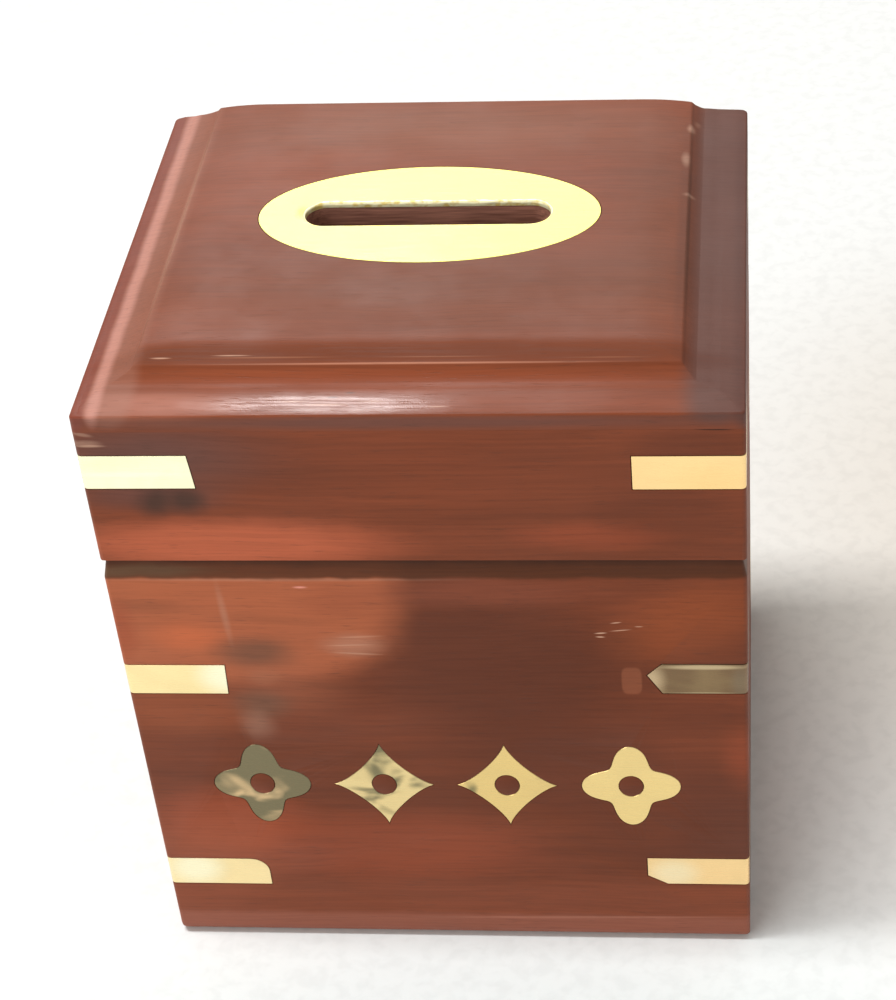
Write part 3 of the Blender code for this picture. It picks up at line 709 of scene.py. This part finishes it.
def moulding_profile(bottom):
    """(share of the moulding's width, inset at the front and right, inset at the left, height) from
    the lower edge to the flat top. The left edge has been rubbed down further than the others."""
    edge = bottom + TOP_EDGE_HEIGHT
    tread = edge + TREAD_RISE
    riser = tread + RISER_RISE
    cove = riser + COVE_RISE
    arris = cove + ARRIS_RISE
    profile = [(0, 0, 0, bottom - GLUE_LINE), (0, 0, 0, bottom + 0.6 * TOP_EDGE_HEIGHT)]
    for x, z in arc((TOP_EDGE_ROUND, edge - TOP_EDGE_ROUND), TOP_EDGE_ROUND, 180, 92, 8):
        profile.append((0, x, x / TOP_EDGE_ROUND * LEFT_SHOULDER, z))
    for t in (0.2, 0.4, 0.7, 0.95, 1):
        profile.append((TREAD_END * t, 0, max(0, 1 - t / 0.4) * LEFT_SHOULDER, edge + TREAD_RISE * t))
    for t in (0.25, 0.5, 0.75, 1):
        share = TREAD_END + (RISER_END - TREAD_END) * t
        profile.append((share, 0, 0, tread + RISER_RISE * t * t * (3 - 2 * t)))
    for t in (0.1, 0.25, 0.4, 0.55, 0.7, 0.85, 0.95, 1):
        share = RISER_END + (COVE_END - RISER_END) * t
        profile.append((share, 0, 0, riser + COVE_RISE * t * (1 + t) / 2))
    for t in (0.2, 0.45, 0.7, 1):
        share = COVE_END + (1 - COVE_END) * t
        profile.append((share, 0, 0, arris - ARRIS_RISE * (1 - t) ** 2))
    for t in (0.05, 0.1, 0.2, 0.35, 0.55, 0.75, 1):
        run = CROWN_RUN * t
        profile.append((1, run, run, arris + CROWN_RISE * t * (2 - t)))
    return profile


def stepped_rectangle(x, y, radius):
    """A rectangle with small round corners and many points along each side, anticlockwise."""
    left, right = x[0] + radius, x[1] - radius
    front, back = y[0] + radius, y[1] - radius
    centres = ((left, front), (right, front), (right, back), (left, back))
    rounds = []
    for centre, start in zip(centres, (180, 270, 0, 90)):
        rounds.append(arc(centre, radius, start, start + 90, CORNER_STEPS))
    points = []
    for here, there in zip(rounds, rounds[1:] + rounds[:1]):
        points += here
        a, b = Vector(here[-1]), Vector(there[0])
        points += [tuple(a.lerp(b, i / SIDE_STEPS)) for i in range(1, SIDE_STEPS)]
    return points


def hand_worked(point):
    """Moves a point a little inwards and down, as a hand plane leaves it."""
    x, y, z = point
    slow, fast = SLOW_WAVES_PER_METRE, FAST_WAVES_PER_METRE
    wave = noise.noise(Vector((x * slow, y * slow, 0.7))) * 0.5 + 0.5
    ripple = noise.noise(Vector((x * fast + 7, y * fast, 3.1))) * 0.5 + 0.5
    sink = HAND_WOBBLE * (0.75 * wave + 0.25 * ripple)
    middle = (TOP_LOW + TOP_HIGH) / 2
    if y < TOP_HIGH.y - 0.05 * MM:
        x += math.copysign(sink, middle.x - x) * 0.8
        y += sink * 0.8 if y < middle.y else 0
    return (x, y, max(TOP_LOW.z, z - 0.6 * sink))


def off_true(point, share=1.0):
    """The top board isn't quite true: its left moulding rises and its panel sinks towards the back.
    share is the point's place across the moulding, 1 on the panel."""
    x, y, z = point
    back = (y - TOP_LOW.y) / (TOP_HIGH.y - TOP_LOW.y)
    right = (x - TOP_LOW.x) / (TOP_HIGH.x - TOP_LOW.x)
    lift = BACK_LEFT_LIFT * (1 - share) * (1 - right)
    return (x, y, z + back * (lift - BACK_RIGHT_SINK * share * right))


def kneed(share, knees):
    """The share of the moulding's width on a side whose tread and riser end at the knees."""
    places = (0, TREAD_END, RISER_END, COVE_END, 1)
    wanted = (0, *knees, COVE_END, 1)
    for a, b, c, d in zip(places, places[1:], wanted, wanted[1:]):
        if share <= b:
            return c + (d - c) * (share - a) / (b - a)
    return share


def top_board_mesh(name):
    """The board as rings up its moulding and then inwards over its panel."""
    rings = []
    for share, run, left_run, z in moulding_profile(TOP_LOW.z):
        radius = max(CORNER_RADIUS * (1 - share), PANEL_CORNER_RADIUS)
        left = kneed(share, LEFT_KNEES) * MOULD_LEFT + left_run
        right = kneed(share, RIGHT_KNEES) * MOULD_RIGHT + run
        front = kneed(share, FRONT_KNEES) * MOULD_FRONT + run
        x = (TOP_LOW.x + left, TOP_HIGH.x - right)
        y = (TOP_LOW.y + front, TOP_HIGH.y)
        ring = flat(stepped_rectangle(x, y, radius), z)
        if z > TOP_LOW.z + TOP_EDGE_HEIGHT / 2:
            ring = [off_true(hand_worked(point), share) for point in ring]
        rings.append(ring)
    return loft(name, rings + panel_rings(rings[-1], TOP_HIGH.z))


def panel_rings(ring, z):
    """The ring drawn in towards the slot step by step, so that the panel can follow its own tilt."""
    middle = slot_centre()
    rings = []
    for share in (0.75, 0.5, 0.25, 0.05):
        outline = [tuple(middle.lerp(Vector(point[:2]), share)) for point in ring]
        rings.append(tilted(outline, z))
    return rings


def tilted(outline, z):
    """A flat outline at height z, moved with the panel that is out of true."""
    return [off_true(point) for point in flat(outline, z)]


def slot_outline(extra=0.0):
    """The coin slot's outline, wider all round by extra, with PLATE_STEPS points that start at its
    right end."""
    centre = slot_centre()
    width = SLOT_WIDTH + 2 * extra
    reach = (SLOT_LENGTH - SLOT_WIDTH) / 2
    half_round = PLATE_STEPS // 4
    right = arc((centre.x + reach, centre.y), width / 2, -90, 90, half_round)
    left = arc((centre.x - reach, centre.y), width / 2, 90, 270, half_round)
    straight = PLATE_STEPS // 2 - half_round
    points = []
    for here, there in ((right, left), (left, right)):
        points += here
        a, b = Vector(here[-1]), Vector(there[0])
        points += [tuple(a.lerp(b, i / straight)) for i in range(1, straight)]
    start = half_round // 2
    return points[start:] + points[:start]


def slot_centre():
    return Vector((SLOT_CENTRE_X, (PLATE_LOW.y + PLATE_HIGH.y) / 2))


def plate_outline():
    middle = (PLATE_LOW + PLATE_HIGH) / 2
    half = (PLATE_HIGH - PLATE_LOW) / 2
    return oval(middle.xy, half.xy, PLATE_STEPS)


TOP_Z = TOP_HIGH.z / MM
TOP_MARKS = (
    # the front and right darker and the back paler, painted shade and painted sheen, and painted shade
    # in the hollow of the front cove
    ((8, -16, TOP_Z), (70, 20, 4), (0.150, 0.042, 0.016), 0.65, 0, 0.2),
    ((38, 8, TOP_Z), (16, 50, 4), (0.150, 0.050, 0.024), 0.5, 0, 0.1),
    ((0, 36, TOP_Z), (60, 18, 4), (0.25, 0.110, 0.068), 0.4, 0, 0.1),
    ((0, -32.2, TOP_Z), (400, 4.2, 4), (0.150, 0.038, 0.015), 0.85, 0, 0.1),
    # scratches along the front arris
    ((-22, -32.9, TOP_Z), (14, 0.3, 2), SCRATCHED, 0.4, 0, 0.2),
    ((4, -33.0, TOP_Z), (12, 0.22, 2), SCRATCHED, 0.35, 0, 0.2),
    ((30, -33.4, TOP_Z), (9, 0.22, 2), SCRATCHED, 0.3, 0, 0.2),
    # the front tread and cove, with a painted sheen on the left of the tread; painted shade on the
    # right moulding; on the left moulding a painted sheen, a painted light line over its crease and
    # painted shade on its outer facet
    ((-40, -42, TOP_Z - 2), (20, 4, 4), SHEEN_PINK, 0.45, 0, 0.3),
    ((0, -37, TOP_Z - 1), (60, 2.2, 3), (0.23, 0.048, 0.014), 0.6, 0, 0.5),
    ((46.5, 0, TOP_Z - 2), (6.5, 200, 4), (0.105, 0.046, 0.036), 0.85, 0, 0.4),
    ((-45.0, 10, TOP_Z - 2), (4.5, 300, 4), (0.34, 0.150, 0.105), 0.4, 0, 0.5),
    ((-42.8, 8, TOP_Z), (0.8, 44, 4), FADED_AND_HIGHLIGHT, 0.35, 0, 0.1),
    ((-50.6, 0, TOP_Z - 3), (2.6, 300, 4), (0.21, 0.046, 0.026), 0.8, 0, 0.5),
    ((-47.5, 0, TOP_Z - 2), (1.7, 300, 4), (0.56, 0.255, 0.200), 0.7, 0, 0.2),
    # the front edge, a painted highlight along the front arris, and chips in the highlights of the
    # front moulding, with painted highlight streaks on its tread
    ((0, -44.5, TOP_Z - 4.4), (70, 0.9, 1.6), PURPLE, 0.5, 0, 0.2),
    # a painted highlight along the front arris
    ((0, -34.35, TOP_Z), (44, 0.3, 2), (0.66, 0.30, 0.19), 0.5, 0, 0.3),
    ((-38.5, -32.9, TOP_Z), (2.2, 0.28, 2), BARE_AND_HIGHLIGHT, 0.5, 0, 0.2),
    ((-27.5, -32.4, TOP_Z), (4, 0.22, 2), BARE_AND_HIGHLIGHT, 0.5, 0, 0.2),
    # painted highlight streaks in the tread's highlight, among its chips
    ((-12, -42.0, TOP_Z - 2), (5, 0.24, 2), BARE_AND_HIGHLIGHT, 0.5, 0, 0.2),
    ((-5, -41.4, TOP_Z - 2), (3, 0.2, 2), BARE_AND_HIGHLIGHT, 0.4, 0, 0.2),
    ((-17, -41.3, TOP_Z - 2), (3, 0.2, 2), BARE_AND_HIGHLIGHT, 0.4, 0, 0.2),
    ((5, -42.6, TOP_Z - 2), (2.6, 0.24, 2), BARE_AND_HIGHLIGHT, 0.4, 0, 0.2),
    ((-11, -40.4, TOP_Z - 2), (1.4, 0.3, 2), SMOKE_AND_SHADE, 0.6, 0, 0.2),
    ((-8.4, -39.4, TOP_Z - 2), (1.2, 0.3, 2), SMOKE_AND_SHADE, 0.6, 0, 0.2),
    ((-15.5, -43.3, TOP_Z - 2), (3.4, 0.22, 2), DEEP, 0.6, 0, 0.2),
    # painted shade along the right edge, the scuffs along the right crease, and painted shade in the
    # crease
    ((50.8, 0, TOP_Z - 3), (2.4, 300, 4), (0.080, 0.033, 0.026), 0.6, 0, 0.3),
    ((42.6, 37.8, TOP_Z), (1.2, 1.8, 3), FADED_AND_HIGHLIGHT, 0.8, 0, 0.1),
    ((41.5, 35.2, TOP_Z), (1.2, 2.2, 3), FADED_AND_HIGHLIGHT, 0.9, 0, 0.1),
    ((40.7, 24.6, TOP_Z), (1.1, 3.4, 3), FADED_AND_HIGHLIGHT, 0.75, 0, 0.1),
    ((41.7, 13.4, TOP_Z), (1.8, 0.9, 3), FADED_AND_HIGHLIGHT, 0.75, 0, 0.1),
    ((40.6, 0, TOP_Z), (1.4, 48, 3), (0.11, 0.034, 0.018), 0.5, 0, 0.1),
    ((41.5, 5, TOP_Z), (0.6, 44, 3), SMOKE_AND_SHADE, 0.45, 0, 0.3),
)

# (centre, reach, roughness): the polished front tread, and the dull front cove
TOP_RUBBED = (
    ((-13, -42, TOP_Z - 2), (27, 4.2, 4), 0.2),
    ((0, -32.0, TOP_Z), (400, 4.2, 4), 0.8),
)


def slot_wall_wood():
    """The sawn, dusty wood inside the coin slot."""
    graph = Graph("slot_wall_wood", Roughness=0.7)
    grain = graph.noise(graph.scaled(graph.place, along_grain(0, 8 * MM, 0.4 * MM)), 2, 0.6)
    stops = ((0.3, (0.26, 0.105, 0.072)), (0.7, (0.54, 0.24, 0.17)))
    graph.set("Base Color", graph.ramp(grain, stops))
    return graph.material


def make_top_board():
    """The moulded board with the plate's pocket and the coin slot cut into it."""
    shift = (3.4, 2.7, 8.1)
    fray = (0.5, 0.5, 0.3)
    wood = rosewood("lid_top_wood", 0, shift, TOP_MARKS, 0.3, fray, gloss=0.29, rubbed=TOP_RUBBED)
    obj = piece("lid_top", top_board_mesh("lid_top"), "lid", wood)
    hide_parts("lid_top_board")
    seat = TOP_HIGH.z - PLATE_THICKNESS - FIT_GAP
    above, below = TOP_HIGH.z + CUT_PAST, TOP_LOW.z - CUT_PAST
    plate_pocket = grown(plate_outline(), FIT_GAP)
    pocket = loft("plate_pocket", [tilted(plate_pocket, z) for z in (seat, above)])
    wood_slot = loft("wood_slot", [flat(slot_outline(FIT_GAP), z) for z in (below, above)])
    pocket.materials.append(wood)
    wood_slot.materials.append(slot_wall_wood())
    carve(obj, [pocket, wood_slot])
    smooth(obj, 30)


def slot_edge(inner, angle):
    """The slot's outline where its edge has been filed over by an angle, more at the far side."""
    middle = slot_centre()
    points = []
    for here, out in zip(inner, grown(inner, 1)):
        far = max(0, min(1, (here[1] - middle.y) / (SLOT_WIDTH / 2) + 0.2))
        chatter = noise.noise(Vector((here[0] * 800, here[1] * 500, 3)))
        ease = SLOT_EASE + far * (SLOT_FAR_EASE + SLOT_CHATTER * chatter)
        run = ease * (1 - math.sin(angle))
        x = here[0] + (out[0] - here[0]) * run
        y = here[1] + (out[1] - here[1]) * run
        points.append(off_true((x, y, PLATE_HIGH.z - 0.7 * ease * (1 - math.cos(angle)))))
    return points


# painted shade of a small dent by the slot's left end, as an orange-brown spot on the plate
PAINTED_DENT_SHADE = ((-22.4, 8.2, PLATE_HIGH.z / MM), (1.7, 2.8, 2), (0.80, 0.45, 0.16), 0.9, 0, 0.1)


def make_slot_plate():
    """The oval plate with its slot, whose edge a coarse file has eased."""
    outer, inner = plate_outline(), slot_outline()
    rings = [
        tilted(outer, PLATE_LOW.z),
        tilted(outer, PLATE_HIGH.z - PLATE_EASE),
        tilted(grown(outer, -PLATE_EASE), PLATE_HIGH.z),
    ]
    first_filed = len(rings)
    rings += [slot_edge(inner, math.radians(a)) for a in (0, 15, 30, 50, 70, 90)]
    last_filed = len(rings)
    rings.append(tilted(inner, PLATE_LOW.z))
    mesh = loft("coin_slot_plate", rings, closed=True)
    material = brass("plate_brass", (1, 2, 3), rough=0.2, tone=(1.0, 0.90, 0.27), spots=(PAINTED_DENT_SHADE,))
    obj = piece("coin_slot_plate", mesh, "lid", material)
    mesh.materials.append(filed_brass())
    for face in mesh.polygons:
        if first_filed <= face.index // PLATE_STEPS < last_filed:
            face.material_index = 1
    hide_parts("slot_plate")
    smooth(obj, 30)


# Straps

PALE_HIGHLIGHT = (1.0, 0.97, 0.72)
AMBER = (0.95, 0.62, 0.26)
BRONZE = (0.21, 0.130, 0.072)
RIM_GLINT = (0.62, 0.47, 0.28)

# Each front strap's own tone, and the spots on it, which are marks as on the wood; the pale spots are
# painted highlights
STRAP_LOOKS = {
    "lid_strap_front_left": (
        (1.0, 0.97, 0.66),
        (((-44, FRONT_Y, 104.9), (12, 6, 0.7), PALE_HIGHLIGHT, 0.7, 0, 0.3),),
    ),
    "lid_strap_front_right": (
        (0.965, 0.68, 0.32),
        (((46, FRONT_Y, 103), (10, 6, 5), AMBER, 0.4, 0, 0.2),),
    ),
    "upper_strap_front_left": (
        (0.98, 0.78, 0.405),
        (((-34, FRONT_Y, 63), (7, 6, 6), PALE_HIGHLIGHT, 0.8, 0, 0.2),),
    ),
    "upper_strap_front_right": (
        BRONZE,
        (
            ((35, FRONT_Y, 62.3), (3.6, 6, 5), (0.62, 0.45, 0.27), 0.85, 0, 0.2),
            ((44, FRONT_Y, 65.2), (9, 6, 0.7), RIM_GLINT, 0.8, 0, 0.3),
            ((44, FRONT_Y, 59.3), (9, 6, 0.6), RIM_GLINT, 0.7, 0, 0.3),
            ((50, FRONT_Y, 62), (2.5, 6, 5), (0.22, 0.17, 0.12), 0.5, 0, 0.2),
        ),
    ),
    "lower_strap_front_left": (
        (0.98, 0.78, 0.415),
        (((-46, FRONT_Y, 17), (7, 6, 6), PALE_HIGHLIGHT, 0.7, 0, 0.2),),
    ),
    "lower_strap_front_right": (
        (0.985, 0.68, 0.33),
        (((38, FRONT_Y, 17), (6, 6, 5), PALE_HIGHLIGHT, 0.4, 0, 0.2),),
    ),
}


def make_straps():
    straps = [node for node in sorted(NODES) if "_strap_" in node]
    for number, node in enumerate(straps):
        tone, spots = STRAP_LOOKS.get(node, (BRASS, ()))
        obj = copy_of(node, node.replace("strap", "corner_strap"))
        shift = (number, 2 * number, 5)
        obj.data.materials.append(brass(node + "_brass", shift, tone=tone, spots=spots))
        soften(obj, BRASS_BEVEL)
        smooth(obj, 35)


# Inlays


def quatrefoil(a):
    return 0.8 + 0.2 * math.cos(4 * a)


def concave_lozenge(a):
    return 1 / (abs(math.cos(a)) ** 0.8 + abs(math.sin(a)) ** 0.8) ** 1.25


def inlay_outline(node, pattern):
    low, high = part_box(node)
    middle, half = (low + high) / 2, (high - low) / 2
    return oval(middle.xz, half.xz, INLAY_STEPS, pattern)


def eye_outline(node):
    low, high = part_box(node)
    return oval(((low + high) / 2).xz, (EYE_HALF_WIDTH, EYE_HALF_HEIGHT), INLAY_STEPS)


def ring_mesh(name, levels):
    """levels are (outline, y) pairs that follow the ring's section all the way round."""
    return loft(name, [upright(outline, y) for outline, y in levels], closed=True)


# Each ornament's node, pattern, share of dark surface, which is a painted dark reflection in the look
# of oxide, and tone
INLAYS = (
    ("front_inlay_1", quatrefoil, 0.95, (0.72, 0.50, 0.27)),
    ("front_inlay_2", concave_lozenge, 0.5, (0.86, 0.66, 0.32)),
    ("front_inlay_3", concave_lozenge, 0.12, (0.86, 0.62, 0.25)),
    ("front_inlay_4", quatrefoil, 0.0, (0.92, 0.68, 0.29)),
)


def inlay_cutter(node, pattern):
    """The fine pocket, a little wider than the frame's, so that it takes its place."""
    low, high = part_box(node)
    gap = FIT_GAP + POCKET_EXTRA
    outer = grown(inlay_outline(node, pattern), gap)
    inner = grown(eye_outline(node), -gap)
    past, deep = low.y - CUT_PAST, high.y + gap
    return ring_mesh(node + "_pocket", ((outer, past), (outer, deep), (inner, deep), (inner, past)))


def make_inlay(node, pattern, tarnish_and_dark_reflection, tone, number):
    """An ornament, hammered out a little to fill its pocket, with eased edges."""
    low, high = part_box(node)
    outer = grown(inlay_outline(node, pattern), HAMMERED)
    inner = grown(eye_outline(node), -HAMMERED)
    levels = (
        (grown(outer, -INLAY_EASE), low.y),
        (outer, low.y + INLAY_EASE),
        (outer, high.y),
        (inner, high.y),
        (inner, low.y + INLAY_EASE),
        (grown(inner, INLAY_EASE), low.y),
    )
    name = f"ornament_{number}"
    material = brass(name + "_brass", (3 * number, 7, number), tarnish_and_dark_reflection, 0.28, tone)
    obj = piece(name, ring_mesh(name, levels), "body", material)
    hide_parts(node)
    smooth(obj, 35)


# Hinges


def hinge_brass():
    return brass("hinge_brass", (5, 5, 5), 0.25, 0.36, (0.78, 0.58, 0.26))


def make_hinges(material):
    for side in ("left", "right"):
        for word in ("body", "lid"):
            node = f"hinge_{side}_{word}_leaf"
            obj = copy_of(node, f"{side}_{word}_hinge_leaf")
            obj.data.materials.append(material)
            soften(obj, LEAF_EDGE)
            smooth(obj, 35)
            for number in (1, 2):
                make_screw(f"hinge_{side}_{word}_screw_{number}", word, material, number)
        make_pin(f"hinge_{side}_pin", side, material)


def make_pin(node, side, material):
    """A pin with a low dome at each end."""
    low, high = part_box(node)
    middle = (low + high) / 2
    radius = (high.z - low.z) / 2
    dome = ((0, 0.45), (0.1 * MM, 0.8), (0.25 * MM, 1))
    sections = [(low.x + depth, share) for depth, share in dome]
    sections += [(high.x - depth, share) for depth, share in reversed(dome)]
    rings = []
    for x, share in sections:
        circle = oval(middle.yz, (radius * share, radius * share), ROUND_STEPS)
        rings.append([(x, y, z) for y, z in circle])
    obj = piece(f"{side}_hinge_pin", loft(node + "_fine", rings), "body", material)
    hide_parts(node)
    smooth(obj)


def driver_slot(middle, turn):
    """A screw slot's outline, longer than the head, turned about the head's middle."""
    x, y = 1.5 * SCREW_HEAD_RADIUS, SCREW_SLOT_WIDTH / 2
    rotation = Matrix.Rotation(turn, 2)
    corners = [rotation @ Vector(corner) for corner in ((-x, -y), (x, -y), (x, y), (-x, y))]
    return [(middle.x + corner.x, middle.y + corner.y) for corner in corners]


def make_screw(node, word, material, number):
    """A slotted countersunk screw, its head in the leaf's face."""
    low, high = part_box(node)
    up = 1 if word == "lid" else -1
    face = low.z if word == "lid" else high.z
    length = high.z - low.z
    middle = (low + high) / 2
    levels = (
        (SCREW_HEAD_RADIUS * 0.93, 0),
        (SCREW_HEAD_RADIUS, 0.05 * MM),
        (SCREW_HEAD_RADIUS, 0.1 * MM),
        (SCREW_SHANK_RADIUS, 0.7 * MM),
        (SCREW_SHANK_RADIUS, length - 1.3 * MM),
        (SCREW_SHANK_RADIUS * 0.2, length),
    )
    rings = []
    for radius, depth in levels:
        circle = oval(middle.xy, (radius, radius), ROUND_STEPS)
        rings.append(flat(circle, face + up * depth))
    body = NODES[node]["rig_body"]
    obj = piece(node.replace("hinge_", "slotted_"), loft(node + "_fine", rings), body, material)
    turn = math.radians(35 * number + math.copysign(20, middle.x))
    outline = driver_slot(middle, turn)
    depths = (-CUT_PAST, SCREW_SLOT_DEPTH)
    carve(obj, [loft("driver_slot", [flat(outline, face + up * depth) for depth in depths])])
    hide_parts(node)
    smooth(obj, 35)


# Stage, lights and camera

FLOOR_REACH = 3.0
CLOTH = (0.91, 0.92, 0.92)
COOL_CLOTH = (0.78, 0.83, 0.84)
WARM_SHADE_CLOTH = (0.80, 0.755, 0.70)


def make_floor():
    """A pale, lightly mottled cloth, cooler in front of the box, and darker and warmer behind its right
    side, a painted warm shade where the box's shadow falls.
    """
    graph = Graph("pale_floor", Roughness=0.9, Specular_IOR_Level=0.1)
    # a painted warm shade behind the box's right side, where its shadow falls
    warm = graph.mark(graph.place, (130, 70, 0), (120, 150, 90), hard=0.3)
    cool = graph.mark(graph.place, (10, -90, 0), (120, 75, 90), hard=0.4)
    colour = graph.mix(cool, (*CLOTH, 1), (*COOL_CLOTH, 1))
    colour = graph.mix(warm, colour, (*WARM_SHADE_CLOTH, 1))
    mottle = graph.noise(graph.scaled(graph.place, (300, 300, 1)), 2, 0.6, 0.3)
    colour = graph.mix(1.0, colour, graph.spread(mottle, 0.3, 0.6, 0.955, 1.01), "MULTIPLY")
    graph.set("Base Color", colour)
    graph.set("Normal", graph.bump(mottle, 0.3 * MM, 0.2))
    reach = FLOOR_REACH
    corners = [(-reach, -reach, 0), (reach, -reach, 0), (reach, reach, 0), (-reach, reach, 0)]
    floor = piece("floor", solid_mesh("floor", corners, [(0, 1, 2, 3)]), material=graph.material)


def area_light(name, place, target, size, watts, colour=(1, 1, 1)):
    data = bpy.data.lights.new(name, "AREA")
    data.shape = "RECTANGLE"
    data.size, data.size_y = size
    data.energy = watts
    data.color = colour
    light = bpy.data.objects.new(name, data)
    bpy.context.scene.collection.objects.link(light)
    light.location = place
    light.visible_camera = False
    aim = Vector(target) - Vector(place)
    light.rotation_euler = aim.to_track_quat("-Z", "Y").to_euler()
    return light


def make_world():
    world = bpy.data.worlds.new("studio")
    bpy.context.scene.world = world
    world.use_nodes = True
    background = world.node_tree.nodes["Background"]
    background.inputs["Color"].default_value = (1.0, 0.965, 0.91, 1)
    background.inputs["Strength"].default_value = 0.42


def make_lights():
    """Two soft lights, and two that show only in what shines: the front tread and the back panel."""
    above, coolish = (-0.44, -0.10, 1.85), (0.99, 1.0, 0.99)
    sky = area_light("skylight", above, (0, -0.10, 0.05), (0.3, 0.95), 28, coolish)
    sky.visible_glossy = False
    area_light("front_soft", (-0.60, -0.85, 0.55), (0, 0, 0.05), (0.7, 0.5), 3.0, (1, 0.99, 0.97))
    tread = Vector((-0.014, -0.041, 0.116))
    lamp = area_light("lamp", tread + 0.55 * Vector((-0.165, 0.68, 0.715)), tread, (0.12, 0.08), 1.1)
    wall = area_light("back_wall", (-0.14, 0.80, 0.52), (0, 0, 0.11), (0.9, 0.30), 1.35)
    for light in (lamp, wall):
        light.visible_diffuse = False


def make_camera():
    """The photograph's viewpoint."""
    data = bpy.data.cameras.new("camera")
    data.sensor_fit = "AUTO"
    data.sensor_width = 36
    data.lens = CAMERA_LENS
    data.shift_x = CAMERA_SHIFT
    data.clip_start = 0.01
    camera = bpy.data.objects.new("camera", data)
    bpy.context.scene.collection.objects.link(camera)
    dip, yaw = CAMERA_DIP, CAMERA_YAW
    forward = Vector((math.sin(yaw) * math.cos(dip), math.cos(yaw) * math.cos(dip), -math.sin(dip)))
    right = Vector((math.cos(yaw), -math.sin(yaw), 0))
    up = right.cross(forward)
    turn = Matrix((right, up, -forward)).transposed().to_4x4()
    roll = Matrix.Rotation(CAMERA_ROLL, 4, "Z")
    camera.matrix_world = Matrix.Translation(CAMERA_PLACE) @ turn @ roll
    bpy.context.scene.camera = camera


def main():
    bpy.context.scene.view_settings.view_transform = "Standard"
    make_camera()
    make_floor()
    make_world()
    make_lights()
    boards = make_boards()
    carve(boards["front_board"], [inlay_cutter(node, pattern) for node, pattern, _, _ in INLAYS])
    for number, (node, pattern, tarnish_and_dark_reflection, tone) in enumerate(INLAYS, 1):
        make_inlay(node, pattern, tarnish_and_dark_reflection, tone, number)
    make_base()
    make_top_board()
    make_slot_plate()
    make_straps()
    make_hinges(hinge_brass())


main()
